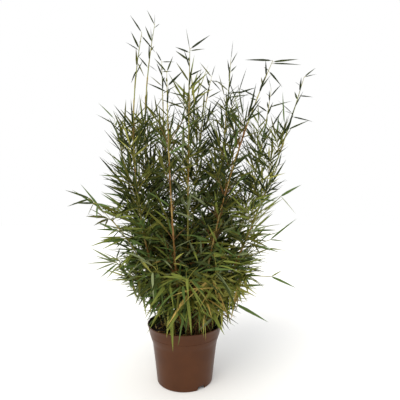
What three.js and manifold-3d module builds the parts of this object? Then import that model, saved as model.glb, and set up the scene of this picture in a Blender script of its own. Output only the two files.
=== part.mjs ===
import * as THREE from "three";
import Module from "manifold-3d";

// A clump of bamboo in a round nursery pot. Millimetres, +Z up, the pot's axis on the
// origin and its underside at z = 0. The front of the plant is towards -Y.

// ---- pot and soil ----
const POT_HEIGHT = 175;
const RIM_RADIUS = 115;
const COLLAR_FOOT_HEIGHT = 131;
const COLLAR_FOOT_RADIUS = 104;
const COLLAR_LINE_HEIGHT = 143.5;
const COLLAR_LINE_STEP = 0.6;
const NECK_HEIGHT = 122;
const NECK_RADIUS = 99.4;
const WAIST_HEIGHT = 60;
const WAIST_RADIUS = 91.6;
const BASE_RADIUS = 85;
const BASE_BEVEL = 2;
const WALL = 2.6;
const FOOT_RING_HEIGHT = 14;
const FLOOR = 3;
const HUB_RADIUS = 26;
const POT_SIDES = 30;
const NOTCH_WIDTH = 24;
const NOTCH_HEIGHT = 10.5;
const NOTCH_BEARINGS = [-53, 127];
const SOIL_TOP = 152;
const CLEAR = 0.3;

// ---- canes ----
// Bearings are in degrees from +X towards +Y, leans in degrees from upright. Each cane
// bends evenly from its lean at the soil to its lean at the tip, in one upright plane.
// bare is the part of the length that is plain cane; a foliage mass carries on from it.
const CANES = [
  { name: "left_tall", foot: [24, 152], bearing: 159, lean: [22, -12], length: 985, thick: 6.6, bare: 0.88 },
  { name: "left_second", foot: [39, 192], bearing: 199, lean: [22, -10], length: 920, thick: 6.2, bare: 0.88 },
  { name: "left_back", foot: [38, 102], bearing: 118, lean: [20, 3], length: 935, thick: 6, bare: 0.87 },
  { name: "red_front", foot: [37, 257], bearing: 252, lean: [15, 2], length: 755, thick: 6, bare: 0.87 },
  { name: "middle", foot: [20, 299], bearing: 274, lean: [-5, 27], length: 820, thick: 6.2, bare: 0.88 },
  { name: "middle_back", foot: [37, 54], bearing: 69, lean: [-6, 31], length: 895, thick: 6, bare: 0.88 },
  { name: "right_upright", foot: [31, 15], bearing: 23, lean: [13, 4], length: 873, thick: 6.4, bare: 0.88 },
  { name: "right_arching", foot: [47, 332], bearing: -23, lean: [7, 25], length: 825, thick: 6, bare: 0.88 },
  { name: "right_second", foot: [52, 28], bearing: 28, lean: [31, 9], length: 855, thick: 6, bare: 0.87 },
  { name: "right_outer", foot: [60, 0], bearing: -4, lean: [27, 16], length: 835, thick: 6.2, bare: 0.87 },
  { name: "left_outer", foot: [56, 170], bearing: 177, lean: [17, 12], length: 680, thick: 5.6, bare: 0.85 },
  { name: "back_left", foot: [52, 133], bearing: 130, lean: [14, 20], length: 700, thick: 5.6, bare: 0.85 },
  { name: "back_right", foot: [67, 48], bearing: 52, lean: [12, 24], length: 690, thick: 5.6, bare: 0.85 },
  { name: "left_arching", foot: [57, 209], bearing: 196, lean: [11, 47], length: 470, thick: 4.8, bare: 0.4 },
  { name: "left_low", foot: [66, 186], bearing: 184, lean: [10, 60], length: 265, thick: 4.2, bare: 0.3 },
  { name: "right_low", foot: [70, 340], bearing: -8, lean: [8, 60], length: 225, thick: 4.2, bare: 0.28 },
  { name: "front_left", foot: [55, 240], bearing: 242, lean: [4, 46], length: 245, thick: 4.6, bare: 0.28 },
  { name: "front_low", foot: [53, 283], bearing: 270, lean: [4, 66], length: 250, thick: 4.2, bare: 0.26 },
  { name: "front_right", foot: [64, 309], bearing: 302, lean: [5, 48], length: 250, thick: 4.6, bare: 0.28 },
  { name: "back_low", foot: [62, 111], bearing: 108, lean: [8, 64], length: 330, thick: 4.4, bare: 0.28 },
  { name: "back_right_low", foot: [64, 74], bearing: 66, lean: [8, 66], length: 310, thick: 4.4, bare: 0.28 },
];
const CANE_SIDES = 5;
const CANE_FLAT = Math.cos(Math.PI / CANE_SIDES);
const INTERNODE = 78;
const NODE_SWELL = 1.1;
const CANE_TIP_SHARE = 0.42;
const STRAIGHT_BEYOND = 160;

// ---- foliage ----
// A side mass has its own stem beside the cane; a tip mass has its stem in line with the
// cane's end. node is the cane's node that a side stem leaves from, and to is the part of
// the cane's length that it runs to. way is the stem's face of the cane, in degrees round
// it from the outside of its lean: one of 0, 72, -72, 144 and -144.
const STEM_SIDES = 3;
const STEM_OFFSET = 10.5;
const STEM_PARTING = 30;
const STEM_RADIUS = [2.5, 1.7];
const TWIG_RADIUS = [0.8, 1.7];
const LEAF_ROOT = 0.075;
const LEAF_KEEL = 3;
const LEAF_WIDEST = 0.36;
const TRIES = 16;
const SHRINK = 0.045;
const GOLDEN = 0.618;
const SIDE_RANGE = 230;
const LEAF_ROLL = [30, 85];

// Each style is given at the foot of a mass's stem and at its head, and blends between.
// twig and leaf are lengths, rise is the twig's slope in degrees above level.
const STYLES = {
  top: {
    foot: { twig: [14, 30], rise: [15, 60], leaf: [66, 86], width: 12, droop: 0.03 },
    head: { twig: [8, 18], rise: [35, 75], leaf: [58, 76], width: 10, droop: 0.02 },
  },
  full: {
    foot: { twig: [34, 74], rise: [-5, 50], leaf: [100, 128], width: 24, droop: 0.14 },
    head: { twig: [18, 40], rise: [20, 62], leaf: [80, 104], width: 18, droop: 0.05 },
  },
  light: {
    foot: { twig: [26, 54], rise: [-20, 35], leaf: [76, 100], width: 15, droop: 0.08 },
    head: { twig: [14, 30], rise: [-10, 35], leaf: [56, 76], width: 11, droop: 0.04 },
  },
  spray: {
    foot: { twig: [26, 50], rise: [-15, 45], leaf: [84, 106], width: 15, droop: 0.08 },
    head: { twig: [20, 40], rise: [-20, 35], leaf: [78, 98], width: 13, droop: 0.08 },
  },
  skirt: {
    foot: { twig: [26, 56], rise: [-10, 50], leaf: [100, 128], width: 18, droop: 0.22 },
    head: { twig: [24, 50], rise: [-40, 30], leaf: [92, 116], width: 17, droop: 0.26 },
  },
};

const MASSES = [
  { cane: "left_tall", part: "tip", twigs: 3, fan: 2, style: "top" },
  { cane: "left_tall", part: "side", node: 2, to: 0.74, way: 0, twigs: 10, fan: 4, style: "full" },
  { cane: "left_second", part: "tip", twigs: 3, fan: 2, style: "top" },
  { cane: "left_second", part: "side", node: 2, to: 0.74, way: 0, twigs: 11, fan: 4, style: "full" },
  { cane: "left_back", part: "tip", twigs: 5, fan: 2, style: "top" },
  { cane: "left_back", part: "side", node: 2, to: 0.76, way: 0, twigs: 11, fan: 4, style: "full" },
  { cane: "red_front", part: "tip", twigs: 4, fan: 2, style: "top" },
  { cane: "red_front", part: "side", node: 1, to: 0.8, way: 0, twigs: 12, fan: 4, style: "full" },
  { cane: "middle", part: "tip", twigs: 3, fan: 2, style: "top" },
  { cane: "middle", part: "side", node: 2, to: 0.8, way: 0, twigs: 12, fan: 4, style: "full" },
  { cane: "middle_back", part: "tip", twigs: 3, fan: 2, style: "top" },
  { cane: "middle_back", part: "side", node: 2, to: 0.8, way: 0, twigs: 11, fan: 4, style: "full" },
  { cane: "right_upright", part: "tip", twigs: 3, fan: 3, style: "top" },
  { cane: "right_upright", part: "side", node: 2, to: 0.8, way: 0, twigs: 12, fan: 4, style: "full" },
  { cane: "right_arching", part: "tip", twigs: 3, fan: 2, style: "top" },
  { cane: "right_arching", part: "side", node: 1, to: 0.8, way: 0, twigs: 11, fan: 4, style: "full" },
  { cane: "right_second", part: "tip", twigs: 3, fan: 2, style: "top" },
  { cane: "right_second", part: "side", node: 1, to: 0.8, way: 0, twigs: 10, fan: 4, style: "full" },
  { cane: "right_outer", part: "tip", twigs: 2, fan: 1, style: "top" },
  { cane: "right_outer", part: "side", node: 1, to: 0.78, way: 0, twigs: 9, fan: 3, style: "light" },
  { cane: "left_outer", part: "tip", twigs: 5, fan: 2, style: "top" },
  { cane: "left_outer", part: "side", node: 1, to: 0.76, way: 0, twigs: 9, fan: 4, style: "full" },
  { cane: "back_left", part: "tip", twigs: 4, fan: 2, style: "top" },
  { cane: "back_left", part: "side", node: 1, to: 0.76, way: 0, twigs: 9, fan: 4, style: "full" },
  { cane: "back_right", part: "tip", twigs: 3, fan: 3, style: "top" },
  { cane: "back_right", part: "side", node: 1, to: 0.76, way: 0, twigs: 9, fan: 4, style: "full" },
  { cane: "left_arching", part: "tip", twigs: 7, fan: 3, style: "spray" },
  { cane: "left_low", part: "tip", twigs: 6, fan: 4, style: "skirt" },
  { cane: "right_low", part: "tip", twigs: 6, fan: 4, style: "skirt" },
  { cane: "front_left", part: "tip", twigs: 7, fan: 4, style: "skirt" },
  { cane: "front_low", part: "tip", twigs: 7, fan: 4, style: "skirt" },
  { cane: "front_right", part: "tip", twigs: 6, fan: 4, style: "skirt" },
  { cane: "back_low", part: "tip", twigs: 6, fan: 4, style: "skirt" },
  { cane: "back_right_low", part: "tip", twigs: 6, fan: 4, style: "skirt" },
];
const LEAF_CHECKS = [[0.12, 0.4], [0.36, 1], [0.6, 0.63], [0.8, 0.32], [1, 0.05]];
// The seam between a cane's side mass and its tip mass is a cone that opens upwards.
const SEAM_SLOPE = 0.45;
const SEAM_DROP = 16;
const SPACE_MARGIN = 1.6;
const SEED = 4127;

// ---- tidying of joined solids ----
// FLAT and TURNED are the most a face may turn, as cosines: the first in any tidying, the
// second when an edge shorter than SHORT closes up. THIN is a sliver's height.
const FLAT = Math.cos(THREE.MathUtils.degToRad(1));
const TURNED = 0.6;
const SHORT = 0.08;
const THIN = 0.04;

const wasm = await Module();
wasm.setup();

// ---- small helpers ----
const radians = THREE.MathUtils.degToRad;
const mix = THREE.MathUtils.lerp;
const UP = new THREE.Vector3(0, 0, 1);

function seeded(seed) {
  let state = seed % 2147483647;
  const draw = () => {
    state = (state * 48271) % 2147483647;
    return state / 2147483647;
  };
  draw();
  draw();
  return draw;
}

// A closed solid through rings of equal count. Each ring runs anticlockwise seen from the
// far end. The far end is capped flat, or drawn to one point.
function loft(rings, point = null) {
  const sides = rings[0].length;
  const corners = rings.flat();
  const faces = [];
  for (let ring = 0; ring + 1 < rings.length; ring += 1) {
    for (let i = 0; i < sides; i += 1) {
      const a = ring * sides + i;
      const b = ring * sides + ((i + 1) % sides);
      faces.push(a, b, b + sides, a, b + sides, a + sides);
    }
  }
  for (let i = 1; i + 1 < sides; i += 1) {
    faces.push(0, i + 1, i);
  }
  const last = (rings.length - 1) * sides;
  if (point) {
    corners.push(point);
    for (let i = 0; i < sides; i += 1) {
      faces.push(last + i, last + ((i + 1) % sides), corners.length - 1);
    }
  } else {
    for (let i = 1; i + 1 < sides; i += 1) {
      faces.push(last, last + i, last + i + 1);
    }
  }
  return { corners, faces };
}

function toManifold({ corners, faces }) {
  const vertProperties = new Float32Array(corners.flatMap((p) => [p.x, p.y, p.z]));
  const triVerts = new Uint32Array(faces);
  return new wasm.Manifold(new wasm.Mesh({ numProp: 3, vertProperties, triVerts }));
}

function fromGeometry(source) {
  const at = source.attributes.position;
  const index = [];
  const keys = new Map();
  const corners = [];
  const place = [];
  for (let i = 0; i < at.count; i += 1) {
    const p = new THREE.Vector3().fromBufferAttribute(at, i);
    const key = p.toArray().map((v) => Math.round(v * 1000)).join();
    if (!keys.has(key)) {
      keys.set(key, corners.length);
      corners.push(p);
    }
    place.push(keys.get(key));
  }
  const order = source.index ? Array.from(source.index.array) : place.map((_, i) => i);
  for (let i = 0; i < order.length; i += 3) {
    const [a, b, c] = [place[order[i]], place[order[i + 1]], place[order[i + 2]]];
    if (a !== b && b !== c && c !== a) {
      index.push(a, b, c);
    }
  }
  return { corners, faces: index };
}

function toGeometry({ corners, faces }) {
  const geometry = new THREE.BufferGeometry();
  const flat = corners.flatMap((p) => [p.x, p.y, p.z]);
  geometry.setAttribute("position", new THREE.Float32BufferAttribute(flat, 3));
  geometry.setIndex(faces);
  geometry.computeVertexNormals();
  return geometry;
}

// Joins the pieces and keeps the one body with the most volume, so that a sealed hollow
// is filled and a loose scrap is dropped.
function joined(pieces) {
  const whole = pieces.map(toManifold).reduce((sum, piece) => sum.add(piece));
  const mesh = whole.getMesh();
  return tidied(mainBody(mesh));
}

function mainBody(mesh) {
  const same = Array.from({ length: mesh.vertProperties.length / mesh.numProp }, (_, i) => i);
  const root = (i) => {
    let at = i;
    while (same[at] !== at) {
      at = same[at];
    }
    return at;
  };
  const tie = (a, b) => {
    same[root(a)] = root(b);
  };
  mesh.mergeFromVert?.forEach((from, i) => tie(from, mesh.mergeToVert[i]));
  const merged = same.map((_, i) => root(i));
  for (let i = 0; i < mesh.triVerts.length; i += 3) {
    tie(mesh.triVerts[i], mesh.triVerts[i + 1]);
    tie(mesh.triVerts[i + 1], mesh.triVerts[i + 2]);
  }
  const corner = (i) => {
    const start = i * mesh.numProp;
    return new THREE.Vector3(...mesh.vertProperties.slice(start, start + 3));
  };
  const volume = new Map();
  for (let i = 0; i < mesh.triVerts.length; i += 3) {
    const [a, b, c] = [0, 1, 2].map((k) => corner(mesh.triVerts[i + k]));
    const body = root(mesh.triVerts[i]);
    volume.set(body, (volume.get(body) ?? 0) + a.dot(b.cross(c)) / 6);
  }
  const main = [...volume].sort((p, q) => q[1] - p[1])[0][0];
  const corners = [];
  const faces = [];
  const place = new Map();
  for (let i = 0; i < mesh.triVerts.length; i += 3) {
    if (root(mesh.triVerts[i]) !== main) {
      continue;
    }
    for (let k = 0; k < 3; k += 1) {
      const from = merged[mesh.triVerts[i + k]];
      if (!place.has(from)) {
        place.set(from, corners.length);
        corners.push(corner(from));
      }
      faces.push(place.get(from));
    }
  }
  return { corners, faces };
}

// Takes out each corner that only divides a straight edge or a flat face, by drawing it
// along to a neighbour when no face turns by it. Very short edges close up in the same
// way, and a sliver of a face is turned into its neighbour's plane. The faces that are
// left are listed largest first.
function tidied({ corners, faces }) {
  const triangles = [];
  const around = corners.map(() => new Set());
  for (let i = 0; i < faces.length; i += 3) {
    const triangle = faces.slice(i, i + 3);
    triangle.forEach((corner) => around[corner].add(triangles.length));
    triangles.push(triangle);
  }
  const apart = (a, b) => corners[a].distanceTo(corners[b]);
  const cross = ([a, b, c]) => {
    const side = corners[b].clone().sub(corners[a]);
    return side.cross(corners[c].clone().sub(corners[a]));
  };
  const height = (t) => {
    const longest = Math.max(apart(t[0], t[1]), apart(t[1], t[2]), apart(t[2], t[0]));
    return cross(t).length() / longest;
  };
  const beside = (corner) => {
    const all = [...around[corner]].flatMap((i) => triangles[i]);
    return new Set(all.filter((other) => other !== corner));
  };
  const canMove = (from, to) => {
    const near = beside(to);
    const shared = [...beside(from)].filter((other) => near.has(other));
    if (shared.length !== 2) {
      return false;
    }
    const limit = apart(from, to) < SHORT ? TURNED : FLAT;
    return [...around[from]].every((i) => {
      if (triangles[i].includes(to)) {
        return true;
      }
      const next = triangles[i].map((corner) => (corner === from ? to : corner));
      if (height(next) < THIN && height(next) < height(triangles[i])) {
        return false;
      }
      const sliver = height(triangles[i]) < THIN / 2;
      return sliver || cross(triangles[i]).normalize().dot(cross(next).normalize()) > limit;
    });
  };
  const move = (from, to) => {
    for (const i of [...around[from]]) {
      if (triangles[i].includes(to)) {
        triangles[i].forEach((corner) => around[corner].delete(i));
        triangles[i] = null;
      } else {
        triangles[i] = triangles[i].map((corner) => (corner === from ? to : corner));
        around[to].add(i);
      }
    }
    around[from].clear();
  };
  const flip = (i) => {
    const t = triangles[i];
    const turns = [0, 1, 2].map((k) => [t[k], t[(k + 1) % 3], t[(k + 2) % 3]]);
    const [a, b, v] = turns.sort((p, q) => apart(q[0], q[1]) - apart(p[0], p[1]))[0];
    const j = [...around[a]].find((other) => other !== i && triangles[other].includes(b));
    const w = triangles[j].find((corner) => corner !== a && corner !== b);
    const next = [[a, w, v], [w, b, v]];
    if (beside(v).has(w) || next.some((one) => height(one) <= height(t))) {
      return false;
    }
    [i, j].forEach((old, k) => {
      triangles[old].forEach((corner) => around[corner].delete(old));
      triangles[old] = next[k];
    });
    [i, j].forEach((old) => triangles[old].forEach((corner) => around[corner].add(old)));
    return true;
  };
  let changed = true;
  for (let round = 0; changed && round < 12; round += 1) {
    changed = false;
    for (let from = 0; from < corners.length; from += 1) {
      const near = [...beside(from)].sort((p, q) => apart(from, p) - apart(from, q));
      const to = near.find((one) => canMove(from, one));
      if (to !== undefined) {
        move(from, to);
        changed = true;
      }
    }
    triangles.forEach((t, i) => {
      if (t && height(t) < THIN && flip(i)) {
        changed = true;
      }
    });
  }
  const left = triangles.filter(Boolean).sort((p, q) => cross(q).length() - cross(p).length());
  const kept = [...new Set(left.flat())];
  const place = new Map(kept.map((corner, i) => [corner, i]));
  return {
    corners: kept.map((corner) => corners[corner]),
    faces: left.flatMap((t) => t.map((corner) => place.get(corner))),
  };
}

// ---- cane lines ----
// The line of one cane as straight runs between its nodes, carried on beyond its tip.
function caneLine(cane) {
  const bearing = radians(cane.bearing);
  const footBearing = radians(cane.foot[1]);
  const start = new THREE.Vector3(Math.cos(footBearing), Math.sin(footBearing), 0)
    .multiplyScalar(cane.foot[0])
    .setZ(SOIL_TOP + CLEAR);
  const runs = Math.max(4, Math.round(cane.length / INTERNODE));
  const run = cane.length / runs;
  const heading = (t) => {
    const lean = radians(mix(cane.lean[0], cane.lean[1], Math.min(1, t / cane.length)));
    const out = new THREE.Vector3(Math.cos(bearing), Math.sin(bearing), 0);
    return out.multiplyScalar(Math.sin(lean)).setZ(Math.cos(lean));
  };
  const points = [start];
  for (let i = 0; i < runs; i += 1) {
    points.push(points[i].clone().addScaledVector(heading((i + 0.5) * run), run));
  }
  points.push(points[runs].clone().addScaledVector(heading(cane.length), STRAIGHT_BEYOND));
  const at = (t) => {
    const i = Math.min(runs, Math.max(0, Math.floor(t / run)));
    const rest = i === runs ? (t - cane.length) / STRAIGHT_BEYOND : t / run - i;
    return points[i].clone().lerp(points[i + 1], rest);
  };
  const side = new THREE.Vector3(-Math.sin(bearing), Math.cos(bearing), 0);
  const radius = (t) => {
    const share = Math.min(1, Math.max(0, t / cane.length));
    return (cane.thick / 2) * mix(1, CANE_TIP_SHARE, share);
  };
  return { ...cane, runs, run, points, at, heading, side, radius };
}

const lines = CANES.map(caneLine);

// Distance from a point to a cane's line, and how far along the nearest place is.
const segment = new THREE.Line3();
const nearest = new THREE.Vector3();
function nearestOn(line, point) {
  let best = { away: Infinity, along: 0 };
  for (let i = 0; i + 1 < line.points.length; i += 1) {
    segment.set(line.points[i], line.points[i + 1]);
    const share = segment.closestPointToPointParameter(point, true);
    const away = segment.at(share, nearest).distanceTo(point);
    if (away < best.away) {
      const run = i === line.runs ? STRAIGHT_BEYOND : line.run;
      best = { away, along: i * line.run + share * run };
    }
  }
  return best;
}

function ringAround(centre, heading, across, radius, sides, turn = 0) {
  const other = new THREE.Vector3().crossVectors(heading, across).normalize();
  const first = new THREE.Vector3().crossVectors(other, heading).normalize();
  return Array.from({ length: sides }, (_, i) => {
    const angle = turn + (i / sides) * Math.PI * 2;
    return centre.clone()
      .addScaledVector(first, Math.cos(angle) * radius)
      .addScaledVector(other, Math.sin(angle) * radius);
  });
}

// ---- pot ----
function potWall(height) {
  const outside = [
    [0, BASE_RADIUS - BASE_BEVEL],
    [BASE_BEVEL, BASE_RADIUS],
    [WAIST_HEIGHT, WAIST_RADIUS],
    [NECK_HEIGHT, NECK_RADIUS],
    [COLLAR_FOOT_HEIGHT, COLLAR_FOOT_RADIUS],
    [POT_HEIGHT, RIM_RADIUS],
  ];
  const next = outside.findIndex(([z]) => z >= height);
  const [high, wide] = outside[next];
  const [low, narrow] = outside[Math.max(0, next - 1)];
  return high === low ? wide : mix(narrow, wide, (height - low) / (high - low));
}

function makePot() {
  const inside = (z) => potWall(z) - WALL;
  const ledge = FOOT_RING_HEIGHT + FLOOR;
  const line = COLLAR_LINE_HEIGHT;
  const profile = [
    [0, 0],
    [HUB_RADIUS, 0],
    [HUB_RADIUS + 4, FOOT_RING_HEIGHT],
    [inside(FOOT_RING_HEIGHT) - 1, FOOT_RING_HEIGHT],
    [inside(0), 0],
    [potWall(0), 0],
    [potWall(BASE_BEVEL), BASE_BEVEL],
    [potWall(WAIST_HEIGHT), WAIST_HEIGHT],
    [potWall(NECK_HEIGHT), NECK_HEIGHT],
    [potWall(COLLAR_FOOT_HEIGHT), COLLAR_FOOT_HEIGHT],
    [potWall(line), line],
    [potWall(line) + COLLAR_LINE_STEP, line + COLLAR_LINE_STEP],
    [RIM_RADIUS, POT_HEIGHT - 1.5],
    [RIM_RADIUS - 0.9, POT_HEIGHT],
    [inside(POT_HEIGHT), POT_HEIGHT],
    [inside(COLLAR_FOOT_HEIGHT), COLLAR_FOOT_HEIGHT],
    [inside(NECK_HEIGHT), NECK_HEIGHT],
    [inside(ledge), ledge],
    [0, ledge],
  ];
  const points = profile.map(([r, z]) => new THREE.Vector2(r, z));
  const shell = new THREE.LatheGeometry(points, POT_SIDES);
  shell.rotateX(Math.PI / 2);
  const cutters = NOTCH_BEARINGS.map((bearing) => {
    const box = new THREE.BoxGeometry(40, NOTCH_WIDTH, NOTCH_HEIGHT + 10);
    box.translate(BASE_RADIUS, 0, NOTCH_HEIGHT / 2 - 5);
    box.rotateZ(radians(bearing));
    return toManifold(fromGeometry(box));
  });
  const body = cutters.reduce((rest, cut) => rest.subtract(cut), toManifold(fromGeometry(shell)));
  return tidied(mainBody(body.getMesh()));
}

function makeSoil() {
  const skin = (z) => potWall(z) - WALL - CLEAR;
  const floor = FOOT_RING_HEIGHT + FLOOR + CLEAR;
  const profile = [
    [0, floor],
    [skin(floor), floor],
    [skin(NECK_HEIGHT), NECK_HEIGHT],
    [skin(COLLAR_FOOT_HEIGHT), COLLAR_FOOT_HEIGHT],
    [skin(SOIL_TOP), SOIL_TOP],
    [0, SOIL_TOP],
  ];
  const points = profile.map(([r, z]) => new THREE.Vector2(r, z));
  const geometry = new THREE.LatheGeometry(points, POT_SIDES);
  geometry.rotateX(Math.PI / 2);
  return fromGeometry(geometry);
}

// ---- canes ----
function makeCane(line) {
  const end = line.length * line.bare;
  const rings = [];
  const ring = (t, heading, swell) => {
    const radius = line.radius(t) * swell;
    rings.push(ringAround(line.at(t), heading, line.side, radius, CANE_SIDES, radians(18)));
  };
  ring(0, UP, 1);
  for (let i = 1; i * line.run < end - 12; i += 1) {
    ring(i * line.run, line.heading(i * line.run), NODE_SWELL);
  }
  ring(end, line.heading(end), 1);
  return loft(rings);
}

// ---- foliage ----
function massSpace(mass, line) {
  const seam = line.length * line.bare;
  const parts = MASSES.filter((other) => other.cane === mass.cane);
  const shared = parts.length > 1;
  return {
    low: mass.part === "tip" && shared ? seam - SEAM_DROP : -Infinity,
    high: mass.part === "side" && shared ? seam - SEAM_DROP : Infinity,
  };
}

// Whether a point is in the mass's own space, nearer to its own cane than to any other.
function inSpace(point, line, space) {
  const own = nearestOn(line, point);
  const banded = own.along - SEAM_SLOPE * own.away;
  if (banded < space.low + SPACE_MARGIN || banded > space.high - SPACE_MARGIN) {
    return false;
  }
  return lines.every((other) => {
    return other === line || nearestOn(other, point).away > own.away + 2 * SPACE_MARGIN;
  });
}

// Whether a ball at the point is clear of every cane, the pot and the soil.
function clearOfLimbs(point, size, line) {
  for (const other of lines) {
    const { away, along } = nearestOn(other, point);
    const bare = other !== line || along < other.length * other.bare + size;
    if (bare && away < other.radius(along) * NODE_SWELL + size + CLEAR) {
      return false;
    }
  }
  const outFromAxis = Math.hypot(point.x, point.y);
  if (point.z < POT_HEIGHT + size + 1 && outFromAxis < RIM_RADIUS + size + 2) {
    const inside = RIM_RADIUS - WALL - 6 - size;
    return outFromAxis < inside && point.z > SOIL_TOP + size + 2;
  }
  return point.z > SOIL_TOP * 0.6;
}

// Three corners of a leaf's cross-section: a flat top with a keel under its middle.
function leafRing(centre, across, face, half, keel) {
  return [
    centre.clone().addScaledVector(across, half),
    centre.clone().addScaledVector(face, -keel),
    centre.clone().addScaledVector(across, -half),
  ];
}

// A leaf's frame, with its blade turned about its own line by roll.
function leafFrame(heading, roll) {
  const across = new THREE.Vector3().crossVectors(heading, UP);
  if (across.length() < 0.2) {
    across.set(1, 0, 0);
  }
  across.normalize().applyAxisAngle(heading, roll);
  const face = new THREE.Vector3().crossVectors(across, heading).normalize();
  return { across, face };
}

function makeLeaf(root, heading, length, width, droop, roll) {
  const { across, face } = leafFrame(heading, roll);
  const at = (share) => {
    const place = root.clone().addScaledVector(heading, share * length);
    place.z -= droop * length * share * share;
    return place;
  };
  const half = width / 2;
  const base = leafRing(root, across, face, half * LEAF_ROOT, LEAF_KEEL * LEAF_ROOT);
  const middle = leafRing(at(LEAF_WIDEST), across, face, half, LEAF_KEEL);
  const tip = at(1);
  const blade = [base[0], middle[0], tip, middle[2], base[2]];
  return { at, base, middle, tip, blade, half, across };
}

function leafFits(leaf, line, space) {
  return LEAF_CHECKS.every(([share, wide]) => {
    const centre = leaf.at(share);
    const half = wide * leaf.half;
    const edges = [half, -half].map((side) => centre.clone().addScaledVector(leaf.across, side));
    return clearOfLimbs(centre, half + 0.4, line) && edges.every((e) => inSpace(e, line, space));
  });
}

// Whether a run from a to b passes through a blade's outline.
const ray = new THREE.Ray();
const hit = new THREE.Vector3();
function pierces(a, b, blade) {
  const length = a.distanceTo(b);
  ray.set(a, b.clone().sub(a).normalize());
  for (let i = 1; i + 1 < blade.length; i += 1) {
    const met = ray.intersectTriangle(blade[0], blade[i], blade[i + 1], false, hit);
    if (met && hit.distanceTo(a) < length) {
      return true;
    }
  }
  return false;
}

function crosses(one, other) {
  const around = (blade) => blade.map((corner, i) => [corner, blade[(i + 1) % blade.length]]);
  return around(one).some(([a, b]) => pierces(a, b, other))
    || around(other).some(([a, b]) => pierces(a, b, one));
}

function turned(heading, sideways, lift) {
  const { across, face } = leafFrame(heading, 0);
  return heading.clone().applyAxisAngle(face, sideways).applyAxisAngle(across, lift).normalize();
}

function makeStem(mass, line) {
  const tip = mass.part === "tip";
  const seam = line.length * line.bare;
  const from = tip ? seam + CLEAR : mass.node * line.run;
  const to = tip ? line.length : mass.to * line.length;
  const way = radians(mass.way ?? 0);
  const footRadius = tip ? line.radius(seam) : STEM_RADIUS[0];
  const centre = (t) => {
    if (tip) {
      return line.at(t);
    }
    const outward = new THREE.Vector3().crossVectors(line.side, line.heading(t));
    const near = line.radius(from) * NODE_SWELL * CANE_FLAT + footRadius / 2 + CLEAR;
    const offset = mix(near, STEM_OFFSET, Math.min(1, (t - from) / STEM_PARTING));
    return line.at(t)
      .addScaledVector(outward, Math.cos(way) * offset)
      .addScaledVector(line.side, Math.sin(way) * offset);
  };
  const bend = Math.abs(line.lean[1] - line.lean[0]) * (to - from) / line.length;
  const runs = Math.max(1, Math.round((to - from) / 130), Math.round(bend / 14));
  const start = tip ? from : from + STEM_PARTING;
  const stations = Array.from({ length: runs + 1 }, (_, i) => mix(start, to, i / runs));
  if (!tip) {
    stations.unshift(from);
  }
  const points = stations.map(centre);
  const whole = points.at(-1).clone().sub(points[0]).normalize();
  const rings = stations.map((t, i) => {
    const radius = mix(footRadius, STEM_RADIUS[1], (t - from) / (to - from));
    const heading = bend > 12 ? line.heading(t) : whole;
    return ringAround(points[i], heading, line.side, radius, STEM_SIDES, way + radians(30));
  });
  const at = (t) => {
    const i = Math.min(stations.length - 2, stations.findLastIndex((s) => s <= t));
    const share = (t - stations[i]) / (stations[i + 1] - stations[i]);
    return points[i].clone().lerp(points[i + 1], share);
  };
  return { at, from, to, rings };
}

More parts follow.
